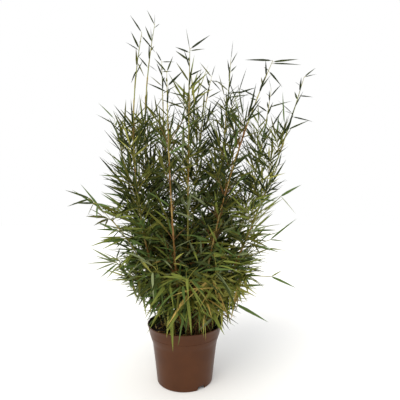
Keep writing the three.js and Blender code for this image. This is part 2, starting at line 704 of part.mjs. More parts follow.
function makeMass(mass, number) {
  const line = lines.find((one) => one.name === mass.cane);
  const style = STYLES[mass.style];
  const space = massSpace(mass, line);
  const random = seeded(SEED + number * 7919);
  const spread = ([low, high]) => mix(low, high, random());
  const styled = (kind, share) => {
    const [foot, head] = [style.foot[kind], style.head[kind]];
    return Array.isArray(foot) ? mix(spread(foot), spread(head), share) : mix(foot, head, share);
  };
  const stem = makeStem(mass, line);
  const pieces = [];
  const blades = [];
  const clear = (blade) => blades.every((other) => !crosses(blade, other));
  const newLeaf = (root, heading, size, share) => {
    const roll = radians(spread(LEAF_ROLL)) * (random() < 0.5 ? -1 : 1);
    const length = size * styled("leaf", share);
    return makeLeaf(root, heading, length, styled("width", share), styled("droop", share), roll);
  };

  // A tip mass's stem runs out into a leaf.
  if (mass.part === "tip") {
    const end = stem.at(stem.to);
    const ahead = turned(line.heading(stem.to), radians(spread([-20, 20])), radians(spread([-20, 6])));
    const leaf = newLeaf(end, ahead, 1, 1);
    pieces.push(loft([...stem.rings, leaf.middle], leaf.tip));
    blades.push([...leaf.blade, stem.at(stem.to - 10)]);
  } else {
    pieces.push(loft(stem.rings));
  }

  // Twigs up the stem, each one a fan of leaves: one from its end, the others beside it.
  let turn = random();
  const range = mass.part === "tip" ? 360 : SIDE_RANGE;
  for (let i = 0; i < mass.twigs; i += 1) {
    const share = (i + 0.35 + 0.3 * random()) / mass.twigs;
    const root = stem.at(mix(stem.from, stem.to, 0.04 + 0.95 * share));
    for (let attempt = 0; attempt < TRIES; attempt += 1) {
      turn = (turn + GOLDEN) % 1;
      const azimuth = radians(line.bearing + (mass.way ?? 0) + (turn - 0.5) * range);
      const size = 1 - SHRINK * attempt;
      const rise = radians(styled("rise", share));
      const heading = new THREE.Vector3(Math.cos(azimuth), Math.sin(azimuth), 0)
        .multiplyScalar(Math.cos(rise))
        .setZ(Math.sin(rise));
      const end = root.clone().addScaledVector(heading, size * styled("twig", share));
      const ahead = turned(heading, radians(spread([-12, 12])), radians(spread([-14, 8])));
      const leaf = newLeaf(end, ahead, size, share);
      const twigFits = [0.35, 0.7, 1].every((part) => {
        const place = root.clone().lerp(end, part);
        return clearOfLimbs(place, TWIG_RADIUS[1], line) && inSpace(place, line, space);
      });
      const { across } = leafFrame(heading, 0);
      const foot = ringAround(root, heading, across, TWIG_RADIUS[0], 3, radians(90));
      const neck = ringAround(end, heading, across, TWIG_RADIUS[1], 3, radians(90));
      leaf.blade.push(root);
      if (!twigFits || !leafFits(leaf, line, space) || !clear(leaf.blade)) {
        continue;
      }
      pieces.push(loft([foot, neck, leaf.middle], leaf.tip));
      blades.push(leaf.blade);
      for (let j = 1; j < mass.fan; j += 1) {
        const hand = (i + j) % 2 === 0 ? -1 : 1;
        const place = root.clone().lerp(end, mix(0.9, 0.35, (j - 1) / 3));
        for (let again = 0; again < TRIES; again += 1) {
          const aside = radians(spread([28, 64])) * hand;
          const way = turned(heading, aside, radians(spread([-30, 16])));
          const extra = newLeaf(place, way, size * (1 - SHRINK * again), share);
          const start = extra.blade.map((corner) => corner.clone().addScaledVector(way, 2.5));
          if (leafFits(extra, line, space) && clear(start)) {
            pieces.push(loft([extra.base, extra.middle], extra.tip));
            blades.push(start);
            break;
          }
        }
      }
      break;
    }
  }
  return joined(pieces);
}

// ---- assembly ----
const colours = {
  pot: { color: 0x5a3a29, roughness: 0.45, metalness: 0 },
  soil: { color: 0x241a12, roughness: 0.95, metalness: 0 },
  cane: { color: 0x8a8a45, roughness: 0.55, metalness: 0 },
  redCane: { color: 0x8c5a34, roughness: 0.55, metalness: 0 },
  upper: { color: 0x4a5a2b, roughness: 0.6, metalness: 0 },
  lower: { color: 0x66713a, roughness: 0.6, metalness: 0 },
};
const materials = Object.fromEntries(
  Object.entries(colours).map(([name, look]) => [name, new THREE.MeshStandardMaterial(look)]),
);

const group = new THREE.Group();
group.name = "potted_bamboo";
function place(name, solid, material) {
  const mesh = new THREE.Mesh(toGeometry(solid), materials[material]);
  mesh.name = name;
  group.add(mesh);
}

place("pot", makePot(), "pot");
place("soil", makeSoil(), "soil");
for (const line of lines) {
  const red = ["red_front", "right_arching"].includes(line.name);
  place(`cane_${line.name}`, makeCane(line), red ? "redCane" : "cane");
}
MASSES.forEach((mass, number) => {
  const kind = mass.style === "skirt" ? "lower" : "upper";
  place(`foliage_${mass.cane}_${mass.part}`, makeMass(mass, number + 1), kind);
});

export default group;
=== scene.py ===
"""The looks of a clump of bamboo in a round nursery pot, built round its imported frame.

Sizes below are in millimetres, +Z up, with the pot's axis on the origin and its underside
at z = 0. The front of the plant is towards -Y. Canes, styles and foliage masses are those
of the part's source. Its rule is written again here and goes on to finer twigs, which
carry leaves of their real size within the same reach.
"""

import math

import bmesh
import bpy
import numpy as np
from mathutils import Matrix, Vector


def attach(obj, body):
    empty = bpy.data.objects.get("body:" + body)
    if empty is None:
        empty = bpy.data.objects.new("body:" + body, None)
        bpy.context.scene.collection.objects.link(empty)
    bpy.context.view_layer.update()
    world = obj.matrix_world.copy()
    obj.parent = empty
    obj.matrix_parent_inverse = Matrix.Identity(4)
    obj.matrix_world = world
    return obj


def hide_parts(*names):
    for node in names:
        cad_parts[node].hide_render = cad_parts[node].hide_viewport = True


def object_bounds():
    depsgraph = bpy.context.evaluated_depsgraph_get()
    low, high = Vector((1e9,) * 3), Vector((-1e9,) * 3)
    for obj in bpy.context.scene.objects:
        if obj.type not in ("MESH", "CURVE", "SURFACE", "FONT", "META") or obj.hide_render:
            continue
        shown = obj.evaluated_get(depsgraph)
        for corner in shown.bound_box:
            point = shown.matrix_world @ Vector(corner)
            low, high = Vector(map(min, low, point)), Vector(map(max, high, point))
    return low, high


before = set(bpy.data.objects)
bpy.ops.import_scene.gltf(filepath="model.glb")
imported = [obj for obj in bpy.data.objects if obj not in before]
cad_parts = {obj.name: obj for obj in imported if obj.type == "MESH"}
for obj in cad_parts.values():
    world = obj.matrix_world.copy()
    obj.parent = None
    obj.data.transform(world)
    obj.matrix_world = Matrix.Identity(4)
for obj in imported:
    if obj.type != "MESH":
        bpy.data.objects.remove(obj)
CAD_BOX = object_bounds()
MM = 0.001
UP = np.array([0.0, 0.0, 1.0])
# a heading's size across the upright, under which it counts as upright
UPRIGHT = 0.2

# ---- pot and soil, as in the part's source ----
POT_HEIGHT = 175
RIM_RADIUS = 115
COLLAR_FOOT_HEIGHT = 131
COLLAR_FOOT_RADIUS = 104
COLLAR_LINE_HEIGHT = 143.5
NECK_HEIGHT = 122
NECK_RADIUS = 99.4
WAIST_HEIGHT = 60
WAIST_RADIUS = 91.6
BASE_RADIUS = 85
BASE_BEVEL = 2
WALL = 2.6
FOOT_RING_HEIGHT = 14
FLOOR = 3
HUB_RADIUS = 26
NOTCH_WIDTH = 24
NOTCH_HEIGHT = 10.5
NOTCH_BEARINGS = (-53, 127)
SOIL_TOP = 152
CLEAR = 0.3
# the soil's crown: rings of corners, corners on a ring, waves, and crumbs either way
SOIL_RINGS = 46
SOIL_SIDES = 150
SOIL_WAVES = 7
CRUMBS = 1.1
SOIL_SEED = 11
# the pot's finer make: degrees between its bearings, and how near corners merge
POT_STEP = 2.0
MERGE_WITHIN = 0.02
# degrees between two faces from which their edge is crisp
CRISP_EDGE = 32

# ---- canes, as in the part's source ----
# name: foot (radius, bearing), bearing, lean (soil, tip), length, thickness, and the share
# of it below the mass of foliage at its end
CANES = {
    "left_tall": ((24, 152), 159, (22, -12), 985, 6.6, 0.88),
    "left_second": ((39, 192), 199, (22, -10), 920, 6.2, 0.88),
    "left_back": ((38, 102), 118, (20, 3), 935, 6, 0.87),
    "red_front": ((37, 257), 252, (15, 2), 755, 6, 0.87),
    "middle": ((20, 299), 274, (-5, 27), 820, 6.2, 0.88),
    "middle_back": ((37, 54), 69, (-6, 31), 895, 6, 0.88),
    "right_upright": ((31, 15), 23, (13, 4), 873, 6.4, 0.88),
    "right_arching": ((47, 332), -23, (7, 25), 825, 6, 0.88),
    "right_second": ((52, 28), 28, (31, 9), 855, 6, 0.87),
    "right_outer": ((60, 0), -4, (27, 16), 835, 6.2, 0.87),
    "left_outer": ((56, 170), 177, (17, 12), 680, 5.6, 0.85),
    "back_left": ((52, 133), 130, (14, 20), 700, 5.6, 0.85),
    "back_right": ((67, 48), 52, (12, 24), 690, 5.6, 0.85),
    "left_arching": ((57, 209), 196, (11, 47), 470, 4.8, 0.4),
    "left_low": ((66, 186), 184, (10, 60), 265, 4.2, 0.3),
    "right_low": ((70, 340), -8, (8, 60), 225, 4.2, 0.28),
    "front_left": ((55, 240), 242, (4, 46), 245, 4.6, 0.28),
    "front_low": ((53, 283), 270, (4, 66), 250, 4.2, 0.26),
    "front_right": ((64, 309), 302, (5, 48), 250, 4.6, 0.28),
    "back_low": ((62, 111), 108, (8, 64), 330, 4.4, 0.28),
    "back_right_low": ((64, 74), 66, (8, 66), 310, 4.4, 0.28),
}
RED_CANES = ("red_front", "right_arching")
INTERNODE = 78
CANE_TIP_SHARE = 0.42
# a cane's line runs on so far beyond its tip
STRAIGHT_BEYOND = 160
GOLDEN = 0.618
SEED = 4127

# Each style blends from the foot of a mass's stem to its head, and has a row of KINDS for
# each. rise and reach are the source's: reach is its twig and leaf together, so a twig
# here is reach less blade. bundle is the number of twigs at a node, gap the run between two
# leaves on a twig, bend how far a twig arches over, spread the angle between a leaf and
# its twig, and hang how strongly leaves are drawn down.
KINDS = ("bundle", "rise", "reach", "blade", "width", "droop", "hang", "gap", "bend",
         "spread")
STYLES = {
    "top": ((2, (15, 60), (80, 116), (58, 84), 6.5, 0.03, 0, 30, 8, (25, 55)),
            (1, (35, 75), (66, 94), (50, 74), 6, 0.02, 0, 30, 5, (20, 45))),
    "full": ((23, (-10, 72), (64, 216), (74, 112), 7.4, 0.09, 0.3, 14, 24, (26, 60)),
             (6, (56, 87), (100, 172), (70, 100), 6.2, 0.03, 0, 15, 6, (28, 60))),
    "light": ((18, (-14, 60), (110, 226), (70, 104), 7.4, 0.06, 0.2, 15, 20, (28, 58)),
              (5, (52, 86), (96, 160), (66, 94), 6.2, 0.03, 0, 17, 6, (28, 62))),
    "spray": ((5, (-40, 44), (110, 160), (66, 98), 7.8, 0.05, 0.1, 13, 16, (18, 46)),
              (4, (-30, 44), (100, 142), (68, 102), 7.8, 0.03, 0.1, 12, 10, (16, 40))),
    "skirt": ((7, (-10, 66), (122, 180), (78, 114), 9.5, 0.12, 0.5, 13, 34, (24, 60)),
              (6, (-58, 66), (112, 164), (76, 116), 10, 0.16, 0.6, 11, 28, (20, 56))),
}
# Two more masses like "full", by the twigs at a node of their foot: the front ones let
# their canes show, the back ones close the gaps behind them.
for style, bundle in (("open", 10), ("dense", 34)):
    foot, head = STYLES["full"]
    STYLES[style] = ((bundle, *foot[1:]), head)

# How far the crown reaches from the pot's axis at a height: height, left, right, depth.
CROWN_REACH = (
    (140, 112, 116, 130), (178, 120, 170, 165), (240, 142, 190, 230), (275, 160, 236, 265),
    (300, 236, 270, 280), (350, 280, 282, 310), (430, 280, 298, 345), (590, 335, 318, 345),
    (700, 262, 310, 335), (800, 240, 340, 320), (865, 176, 380, 320), (930, 165, 400, 320),
    (1200, 165, 430, 320),
)

# Leaves placed one by one, at the tips and over the rim: share of the cane, azimuth, rise,
# length and width.
LONE_LEAVES = {
    "left_tall": ((1, 178, 64, 54, 6), (0.99, 12, 44, 22, 4), (1, 80, 86, 36, 2.5),
                  (0.945, 230, 84, 44, 5), (0.87, 20, -30, 30, 5), (0.86, 190, 50, 46, 7)),
    "left_second": ((1, 184, 57, 60, 6), (0.99, -14, -50, 68, 7), (0.94, 176, 34, 46, 6),
                    (0.9, -20, -62, 48, 7), (0.875, 200, -68, 40, 6), (0.86, 20, 66, 50, 6)),
    "left_back": ((1, 178, 62, 44, 6), (1, 4, 3, 44, 5), (0.96, -8, 1, 34, 5),
                  (0.9, 190, 40, 56, 7), (0.87, 10, 35, 60, 7)),
    "red_front": ((1, 170, 50, 52, 7), (1, 12, 70, 46, 6), (0.95, -6, 44, 60, 8),
                  (0.93, 200, 20, 56, 7), (0.88, 8, 15, 62, 7)),
    "middle": ((1, 186, 80, 52, 4), (1, 6, 38, 64, 7), (0.995, -20, 0, 38, 6),
               (0.99, 176, 24, 38, 6), (0.965, 196, 32, 42, 7), (0.92, 8, 30, 36, 6),
               (0.9, 190, 56, 62, 7), (0.88, -14, 48, 58, 7), (0.85, 170, 20, 60, 7)),
    "middle_back": ((1, 182, 52, 68, 6), (1, 8, 74, 44, 4), (0.985, -10, -48, 58, 6),
                    (0.98, 14, -6, 54, 6), (0.92, 186, 40, 52, 7), (0.88, 0, 30, 60, 7)),
    "right_upright": ((1, -10, 84, 60, 6), (0.98, 4, 62, 48, 5), (0.95, 8, 48, 30, 6),
                      (0.915, 100, 84, 44, 5), (0.87, 4, 10, 68, 7), (0.88, 184, 40, 54, 7),
                      (0.855, -16, 4, 70, 8)),
    "right_arching": ((1, 178, 4, 74, 9), (0.995, 6, 10, 74, 8), (0.99, -10, -5, 78, 8),
                      (0.965, -4, -50, 56, 9), (0.9, 8, 56, 50, 6), (0.87, 186, 26, 60, 7)),
    "right_second": ((1, 120, 74, 44, 5), (0.965, 4, 50, 62, 7), (0.92, 10, 19, 90, 7),
                     (0.9, 184, 34, 52, 7), (0.86, 170, 50, 60, 7)),
    "right_outer": ((1, 4, 40, 44, 7), (1, -12, 12, 33, 5), (0.93, 6, -2, 42, 5),
                    (0.86, 178, 44, 62, 6), (0.85, 0, -12, 62, 6), (0.8, -10, 24, 66, 7),
                    (0.77, 184, 40, 56, 7)),
    "left_outer": ((1, 176, 46, 72, 7), (0.97, 188, 30, 66, 7), (0.95, 10, 52, 50, 7),
                   (0.93, 168, 62, 56, 6), (0.66, 178, 27, 98, 9), (0.62, 182, 12, 92, 10),
                   (0.58, 176, 34, 78, 9), (0.72, 184, 6, 84, 9)),
    "left_arching": ((1, 180, 20, 74, 8), (0.92, 178, 34, 96, 9), (0.91, 184, 52, 92, 8),
                     (1, 196, -18, 62, 8), (0.96, 170, 2, 66, 8)),
    "front_low": ((0.55, 250, -58, 124, 15), (0.6, 285, -66, 96, 13), (0.4, 262, -62, 70, 11)),
    "front_left": ((0.5, 215, -50, 112, 21), (0.5, 283, -60, 138, 22), (0.44, 262, -62, 92, 13),
                   (0.55, 238, -40, 96, 9)),
    "front_right": ((0.45, 330, -52, 86, 17), (0.5, 320, -50, 110, 20), (0.4, 276, -66, 84, 9),
                    (0.55, 350, -34, 96, 9), (0.5, 268, -70, 100, 9), (0.46, 284, -74, 104, 8),
                    (0.56, 262, -62, 96, 9)),
    "left_low": ((1, 180, 31, 86, 9), (1, 190, 0, 82, 7), (0.99, 172, -20, 72, 8),
                 (0.97, 194, -38, 62, 8), (0.98, 160, 14, 80, 8)),
}

# Those that point toward the front and the back on every tall cane.
DEPTH_LEAVES = ((0.965, 98, 34, 50, 7), (0.945, 258, 22, 62, 8), (0.915, 84, 40, 62, 8),
                (0.885, 278, 30, 64, 8), (0.86, 100, 24, 62, 8))
LONE_SLIM = 0.78
LONE_TONES = {
    "tips": dict(deep=4, dark=4, olive=1),
    "front_low": dict(fresh=3, green=2, lime=2),
    "front_left": dict(fresh=3, green=1, lime=1),
    "front_right": dict(straw=2, lime=4, fresh=3),
    "left_low": dict(fresh=3, green=3, painted_sheen=1),
    "left_arching": dict(green=3, dark=2, olive=2),
    "left_outer": dict(green=3, dark=3, olive=1),
}
# Degrees that a lone leaf is rolled about its midrib, toward the view and across it.
LONE_ROLL = (14, 66)

# Shoots that stray from the crown's right: cane, share, azimuth, rise and length, and the
# azimuth, rise, length and width of the leaves at their ends.
STRAYS = (
    ("right_outer", 0.4, 0, 47, 146, ((4, 31, 76, 9), (-8, -49, 68, 6))),
    ("right_outer", 0.32, -4, 21, 97, ((-4, 41, 108, 6), (20, -6, 56, 6))),
    ("right_outer", 0.28, -6, 21, 104, ((2, -3, 62, 7), (-30, 10, 40, 5))),
    ("right_low", 0.93, 0, -2, 88, ((-4, -22, 80, 8), (10, 30, 40, 6))),
    ("right_low", 0.62, -24, -46, 50, ((-10, -25, 104, 10),)),
)
# Their radii at root and tip, and how far they bend over, in degrees.
STRAY_RADII = (1.5, 1.0)
STRAY_BEND = 10

# Tall canes: style of the side mass, node that it starts from, share of the cane it runs to in
# the source, how far above that end its last twigs spring, and how full the cane's foliage is.
SIDES = {
    "left_tall": ("full", 2, 0.74, -95, 1),
    "left_second": ("full", 2, 0.74, -90, 1),
    "left_back": ("dense", 2, 0.76, -80, 0.65),
    "red_front": ("open", 1, 0.8, -45, 0.7),
    "middle": ("open", 2, 0.8, -14, 0.7),
    "middle_back": ("dense", 2, 0.8, -85, 1.15),
    "right_upright": ("open", 2, 0.8, -30, 1),
    "right_arching": ("open", 1, 0.8, -48, 0.9),
    "right_second": ("full", 1, 0.8, -40, 1.15),
    "right_outer": ("light", 1, 0.78, -40, 1.35),
    "left_outer": ("full", 1, 0.76, 50, 1),
    "back_left": ("dense", 1, 0.76, -50, 1.05),
    "back_right": ("dense", 1, 0.76, 0, 1.2),
}
# Short canes: style and fullness of the one mass at their end.
SHORTS = {
    "left_arching": ("spray", 1.35), "left_low": ("skirt", 1.9), "right_low": ("skirt", 2.1),
    "front_left": ("skirt", 1), "front_low": ("skirt", 1), "front_right": ("skirt", 0.72),
    "back_low": ("skirt", 1.2), "back_right_low": ("skirt", 1.2),
}
# Pieces of the crown that are joined, and the canes whose foliage is in each.
GROUPS = {
    "left": ("left_tall", "left_second", "left_outer", "left_arching"),
    "middle": ("red_front", "middle", "right_upright"),
    "right": ("right_arching", "right_second", "right_outer"),
    "back": ("left_back", "middle_back", "back_left", "back_right"),
    "skirt": ("left_low", "right_low", "front_left", "front_low", "front_right",
              "back_low", "back_right_low"),
}

# Tones of a spray's leaves and their weights, by where it grows, which mix_at says.
TONE_MIXES = {
    "withered": dict(brown=74, amber=10, straw=16),
    "dry_front": dict(amber=18, straw=30, lime=52),
    "shade": dict(deep=54, dark=28, green=8, painted_sheen=10),
    # the sprays on top of the skirt take darker tones than the rest of it: painted shade
    "shaded_skirt_top": dict(green=34, olive=12, dark=20, fresh=14, painted_sheen=16, lime=4),
    "skirt_right": dict(fresh=34, lime=34, green=12, olive=8, straw=6, painted_sheen=6),
    "skirt": dict(green=28, fresh=36, olive=12, dark=4, lime=12, painted_sheen=8),
    "low_rim": dict(fresh=34, olive=26, green=22, lime=10, painted_sheen=8),
    "low": dict(green=34, olive=11, dark=14, fresh=17, painted_sheen=18, lime=6),
    "core": dict(dark=30, deep=24, olive=16, green=14, painted_sheen=9, fresh=7),
    "top": dict(dark=32, olive=26, deep=20, green=9, fresh=8, lime=3),
}

# Twigs: points on each, radius at the root of the shortest and length for one more
# millimetre of it, radius at the tip, and the lengths from which one forks once and twice.
TWIG_STEPS = 5
TWIG_SHARES = [i / (TWIG_STEPS - 1) for i in range(TWIG_STEPS)]
TWIG_LEAST = 0.8
TWIG_SLENDER = 150
TWIG_TIP = 0.4
FORKED = 72
TWICE_FORKED = 96
# Degrees either way of a twig's wander, of its spray's lay, and of a leaf's roll and twist.
TWIG_WOBBLE = 7
TWIG_LAY = 32
LEAF_ROLL = 80
SKIRT_ROLL = 48
LEAF_TWIST = 34
# Shares of its style's value that a leaf's blade, width, droop and hang vary between.
VARIED_BLADE = (0.7, 1.05)
VARIED_WIDTH = (0.8, 1.15)
VARIED_DROOP = (0.3, 1.7)
VARIED_HANG = (0, 1.6)
# Share of a twig's length that bears leaves, and the parts of it that they stand between.
LEAFY = 0.78
LEAF_PARTS = (0.97, 0.24)
# Finer twigs: the parts of a twig that they spring from, the degrees that they turn aside,
# their length as a share of what is left of it, and the share of a mass that has them.
ONE_FORK = (0.42,)
TWO_FORKS = (0.34, 0.6)
FORK_ASIDE = (30, 55)
FORK_SHARE = 0.8
FORKED_MASS = 0.6
# A twig is never shorter, and a flat one and an upright one have these shares of the reach.
SHORTEST_TWIG = 8
REACH_BY_RISE = (0.8, 1.1)
# Chance that a leaf has its spray's tone, and the run between bundles at a cane's tip.
SPRAY_TONE = 0.8
TIP_STEP = 34

# Where leaves fit: the lowest place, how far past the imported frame's box the crown may go,
# and how clear of the canes leaves keep.
LOWEST_LEAF = 140
BOX_MARGIN = 16
CROWN_BOX = (np.array(CAD_BOX[0]) / MM - BOX_MARGIN, np.array(CAD_BOX[1]) / MM + BOX_MARGIN)
CANE_CLEAR = 0.6
# Clear of the pot: above its rim and the soil, beside its wall, and how far to the inside
# and the outside of the rim's edge a leaf counts as over it.
LEAF_ABOVE = 2
LEAF_BESIDE = 3
RIM_BAND = (9, 4)
# Canes that the photo shows through the crown, with the heights that they show between, how
# near to one a leaf hides it, and the chance that such a leaf is left out.
SHOWN_CANES = {
    "left_tall": (360, 760), "left_back": (420, 720), "red_front": (240, 640),
    "middle": (330, 680), "middle_back": (430, 600), "right_upright": (330, 700),
    "right_arching": (250, 560), "right_second": (380, 640), "right_outer": (330, 560),
}
SHOWN_CLEAR = 4
SHOWN_CHANCE = 0.42

# ---- canes, sheaths and dry growth ----
CANE_SIDES = 10
# a node's relief: how far along from the node, and the radius there as a share
NODE_RELIEF = ((-7, 1.0), (-2.2, 1.04), (-0.8, 1.2), (0.3, 0.98), (1.6, 1.17), (4.5, 1.03),
               (10, 0.97))
# a cane's end, inside its mass of foliage, thins to this share of its line's radius
END_THIN = 0.55
# tones of the internodes and their weights, in the low, middle and top third of a cane
INTERNODES = (dict(olive=3, ochre=3, straw=2, rust=1), dict(olive=4, green=3, ochre=1),
              dict(olive=4, green=3))
RED_INTERNODES = (dict(rust=3, ochre=3, straw=1), dict(rust=2, ochre=4, straw=2),
                  dict(olive=4, straw=2, ochre=1))
# share of the internodes with a sheath, and how far up a cane they go
SHEATHED = 0.62
SHEATH_TOP = 0.86
# corners round a sheath, degrees it wraps either way, and (share of its height, of its wrap)
SHEATH_WRAP = 7
SHEATH_SPAN = 150
SHEATH_ROWS = ((0.0, 1.0), (0.45, 0.92), (0.8, 0.55), (1.0, 0.04))
# share of the sheaths that are rusty, on a green cane and on a red one
RUSTY_SHEATHS = 0.12
RED_RUSTY_SHEATHS = 0.6
# dead stems and their radii from the foot up, and scraps on the soil
DRY_STEMS = 46
DRY_STEM_RADII = [1.0, 0.9, 0.8, 0.7, 0.5]
SCRAPS = 150

# ---- light and camera ----
CAMERA_PLACE = (47, -1060, 553)
LENS = 30.6
SENSOR = 36
KEY_FROM = (-0.45, -0.75, 1.0)
KEY_STRENGTH = 1.5
KEY_COLOUR = (1.0, 0.96, 0.86)
KEY_SPREAD = 40
SKY_STRENGTH = 1.0
FLOOR_REACH = 6000


# ---- small helpers ----
class Seeded:
    """The source's generator of random shares."""

    def __init__(self, seed):
        self.state = seed % 2147483647
        self()
        self()

    def __call__(self):
        self.state = (self.state * 48271) % 2147483647
        return self.state / 2147483647

    def between(self, low, high):
        return low + (high - low) * self()

    def angle(self, spread):
        """A random angle of up to so many degrees either way."""
        return math.radians(self.between(-spread, spread))


def mix(low, high, share):
    return low + (high - low) * share


def unit(v):
    return v / np.linalg.norm(v)


def about(v, axis, angle):
    cos, sin = math.cos(angle), math.sin(angle)
    return v * cos + np.cross(axis, v) * sin + axis * np.dot(axis, v) * (1 - cos)


def direction(azimuth, rise):
    flat = math.cos(rise)
    return np.array([math.cos(azimuth) * flat, math.sin(azimuth) * flat, math.sin(rise)])


def toward(azimuth, rise=0):
    """A direction from angles in degrees."""
    return direction(math.radians(azimuth), math.radians(rise))


def across_of(heading, roll=0.0):
    across = np.cross(heading, UP)
    if np.linalg.norm(across) < UPRIGHT:
        across = np.array([1.0, 0.0, 0.0])
    return about(unit(across), heading, roll)


def turned(heading, sideways, lift, roll=0.0):
    """A heading turned aside from another in a plane rolled about it, then lifted."""
    across = across_of(heading, roll)
    face = unit(np.cross(across, heading))
    return unit(about(about(heading, face, sideways), across, lift))


def srgb(*colour):
    """An sRGB colour, 0 to 255, as a linear one for a shader's socket."""
    share = [c / 255 for c in colour]
    return [c / 12.92 if c <= 0.04045 else ((c + 0.055) / 1.055) ** 2.4 for c in share] + [1]


# ---- materials ----
def new_material(name, colour, roughness, specular=0.5):
    material = bpy.data.materials.new(name)
    material.use_nodes = True
    shader = material.node_tree.nodes["Principled BSDF"]
    shader.inputs["Base Color"].default_value = colour
    shader.inputs["Roughness"].default_value = roughness
    shader.inputs["Specular IOR Level"].default_value = specular
    return material


class Nodes:
    """Short calls for adding nodes to a material."""

    def __init__(self, material):
        self.tree = material.node_tree
        self.shader = self.tree.nodes["Principled BSDF"]

    def add(self, kind, **values):
        node = self.tree.nodes.new(kind)
        for key, value in values.items():
            if key in node.inputs:
                node.inputs[key].default_value = value
            else:
                setattr(node, key, value)
        return node

    def link(self, source, target):
        self.tree.links.new(source, target)

    def place(self, kind="Object", scale=(1, 1, 1)):
        coords = self.add("ShaderNodeTexCoord")
        mapping = self.add("ShaderNodeMapping", Scale=scale)
        self.link(coords.outputs[kind], mapping.inputs["Vector"])
        return mapping.outputs["Vector"]

    def noise(self, vector, scale, detail=3.0, rough=0.6):
        node = self.add("ShaderNodeTexNoise", Scale=scale, Detail=detail, Roughness=rough)
        self.link(vector, node.inputs["Vector"])
        return node.outputs["Fac"]

    def colour(self, value, stops):
        """Colours the surface by a ramp over value; stops are (place, colour) in order."""
        node = self.add("ShaderNodeValToRGB")
        ramp = node.color_ramp
        while len(ramp.elements) < len(stops):
            ramp.elements.new(0.5)
        for element, (place, colour) in zip(ramp.elements, stops):
            element.position = place
            element.color = colour
        self.link(value, node.inputs["Fac"])
        self.link(node.outputs["Color"], self.shader.inputs["Base Color"])

    def roughen(self, value, low, high):
        """Spreads value over a range of roughness."""
        node = self.add("ShaderNodeMapRange")
        node.inputs["To Min"].default_value = low
        node.inputs["To Max"].default_value = high
        self.link(value, node.inputs["Value"])
        self.link(node.outputs["Result"], self.shader.inputs["Roughness"])

    def bump(self, height, strength, distance):
        node = self.add("ShaderNodeBump", Strength=strength, Distance=distance)
        self.link(height, node.inputs["Height"])
        self.link(node.outputs["Normal"], self.shader.inputs["Normal"])


def leaf_material(name, colour, roughness=0.46):
    """A leaf: long fine veins beside the midrib, and a sheen that varies along it."""
    material = new_material(name, colour, roughness, 0.1)
    nodes = Nodes(material)
    veins = nodes.add("ShaderNodeTexWave", Scale=5.5, Distortion=0.4)
    nodes.link(nodes.place("UV", (1, 0.02, 1)), veins.inputs["Vector"])
    nodes.bump(veins.outputs["Fac"], 0.25, 0.0004)
    sheen = nodes.noise(nodes.place("UV", (2, 6, 1)), 3)
    nodes.roughen(sheen, roughness - 0.12, roughness + 0.16)
    return material


def stem_material(name, light, dark, roughness=0.5):
    """A cane, twig or sheath: streaked along its length and blotched between two tones."""
    material = new_material(name, light, roughness, 0.2)
    nodes = Nodes(material)
    blotch = nodes.noise(nodes.place("Object", (1, 1, 0.35)), 55, 4, 0.65)
    nodes.colour(blotch, [(0.36, dark), (0.62, light)])
    streak = nodes.noise(nodes.place("Object", (1, 1, 0.04)), 900, 2)
    nodes.roughen(streak, roughness - 0.1, roughness + 0.18)
    nodes.bump(streak, 0.3, 0.0003)
    return material


def pot_material():
    """Moulded brown plastic: faint rings and flow marks, scuffs that dull it in patches."""
    material = new_material("pot_plastic", srgb(78, 46, 27), 0.36, 0.14)
    nodes = Nodes(material)
    cloud = nodes.noise(nodes.place(), 14, 4, 0.6)
    nodes.colour(cloud, [(0.3, srgb(73, 43, 25)), (0.7, srgb(83, 49, 28))])
    scuff = nodes.noise(nodes.place("Object", (1, 1, 3)), 60, 5, 0.7)
    nodes.roughen(scuff, 0.26, 0.44)
    rings = nodes.noise(nodes.place("Object", (0.02, 0.02, 1)), 420, 2, 0.5)
    nodes.bump(rings, 0.12, 0.0004)
    return material


def painted_shade_inside_material():
    """The pot's inside, darkened to near black with a faint mottle: painted shade under the rim
    and the foliage.
    """
    material = new_material("pot_inside_painted_shade", srgb(30, 20, 13), 0.8, 0.08)
    nodes = Nodes(material)
    shade_mottle = nodes.noise(nodes.place("Object", (1, 1, 0.5)), 70, 5, 0.7)
    nodes.colour(shade_mottle, [(0.35, srgb(16, 11, 7)), (0.7, srgb(38, 25, 16))])
    nodes.roughen(shade_mottle, 0.5, 0.85)
    nodes.bump(shade_mottle, 0.4, 0.001)
    return material


def soil_material():
    """Dark peat: crumbs from near black to brown."""
    material = new_material("soil_peat", srgb(30, 21, 13), 0.9, 0.2)
    nodes = Nodes(material)
    crumbs = nodes.noise(nodes.place(), 420, 5, 0.75)
    nodes.colour(crumbs, [(0.3, srgb(12, 8, 5)), (0.55, srgb(34, 23, 14)),
                          (0.75, srgb(66, 45, 28))])
    nodes.bump(crumbs, 0.8, 0.002)
    return material


LEAF_TONES = {
    "deep": (43, 52, 26), "dark": (58, 67, 30),
    "olive": (88, 89, 34), "green": (87, 107, 55),
    "fresh": (122, 131, 60), "lime": (154, 153, 78),
    # the pale grey-green tone below is painted sheen: light reflected off glossy leaves
    "painted_sheen": (126, 135, 96), "straw": (184, 158, 88),
    "amber": (156, 112, 50), "brown": (104, 72, 36),
}
TONE_NAMES = list(LEAF_TONES)
LEAVES = [leaf_material(f"leaf_{name}", srgb(*tone)) for name, tone in LEAF_TONES.items()]
CANE_TONES = {name: stem_material(f"cane_{name}", srgb(*light), srgb(*dark))
              for name, light, dark in (
                  ("olive", (156, 150, 76), (122, 116, 52)),
                  ("green", (138, 142, 68), (106, 112, 48)),
                  ("straw", (172, 146, 86), (132, 102, 54)),
                  ("rust", (146, 106, 58), (106, 70, 38)),
                  ("ochre", (150, 116, 58), (112, 80, 38)))}
TWIG = stem_material("twig_green", srgb(152, 146, 68), srgb(114, 110, 46))
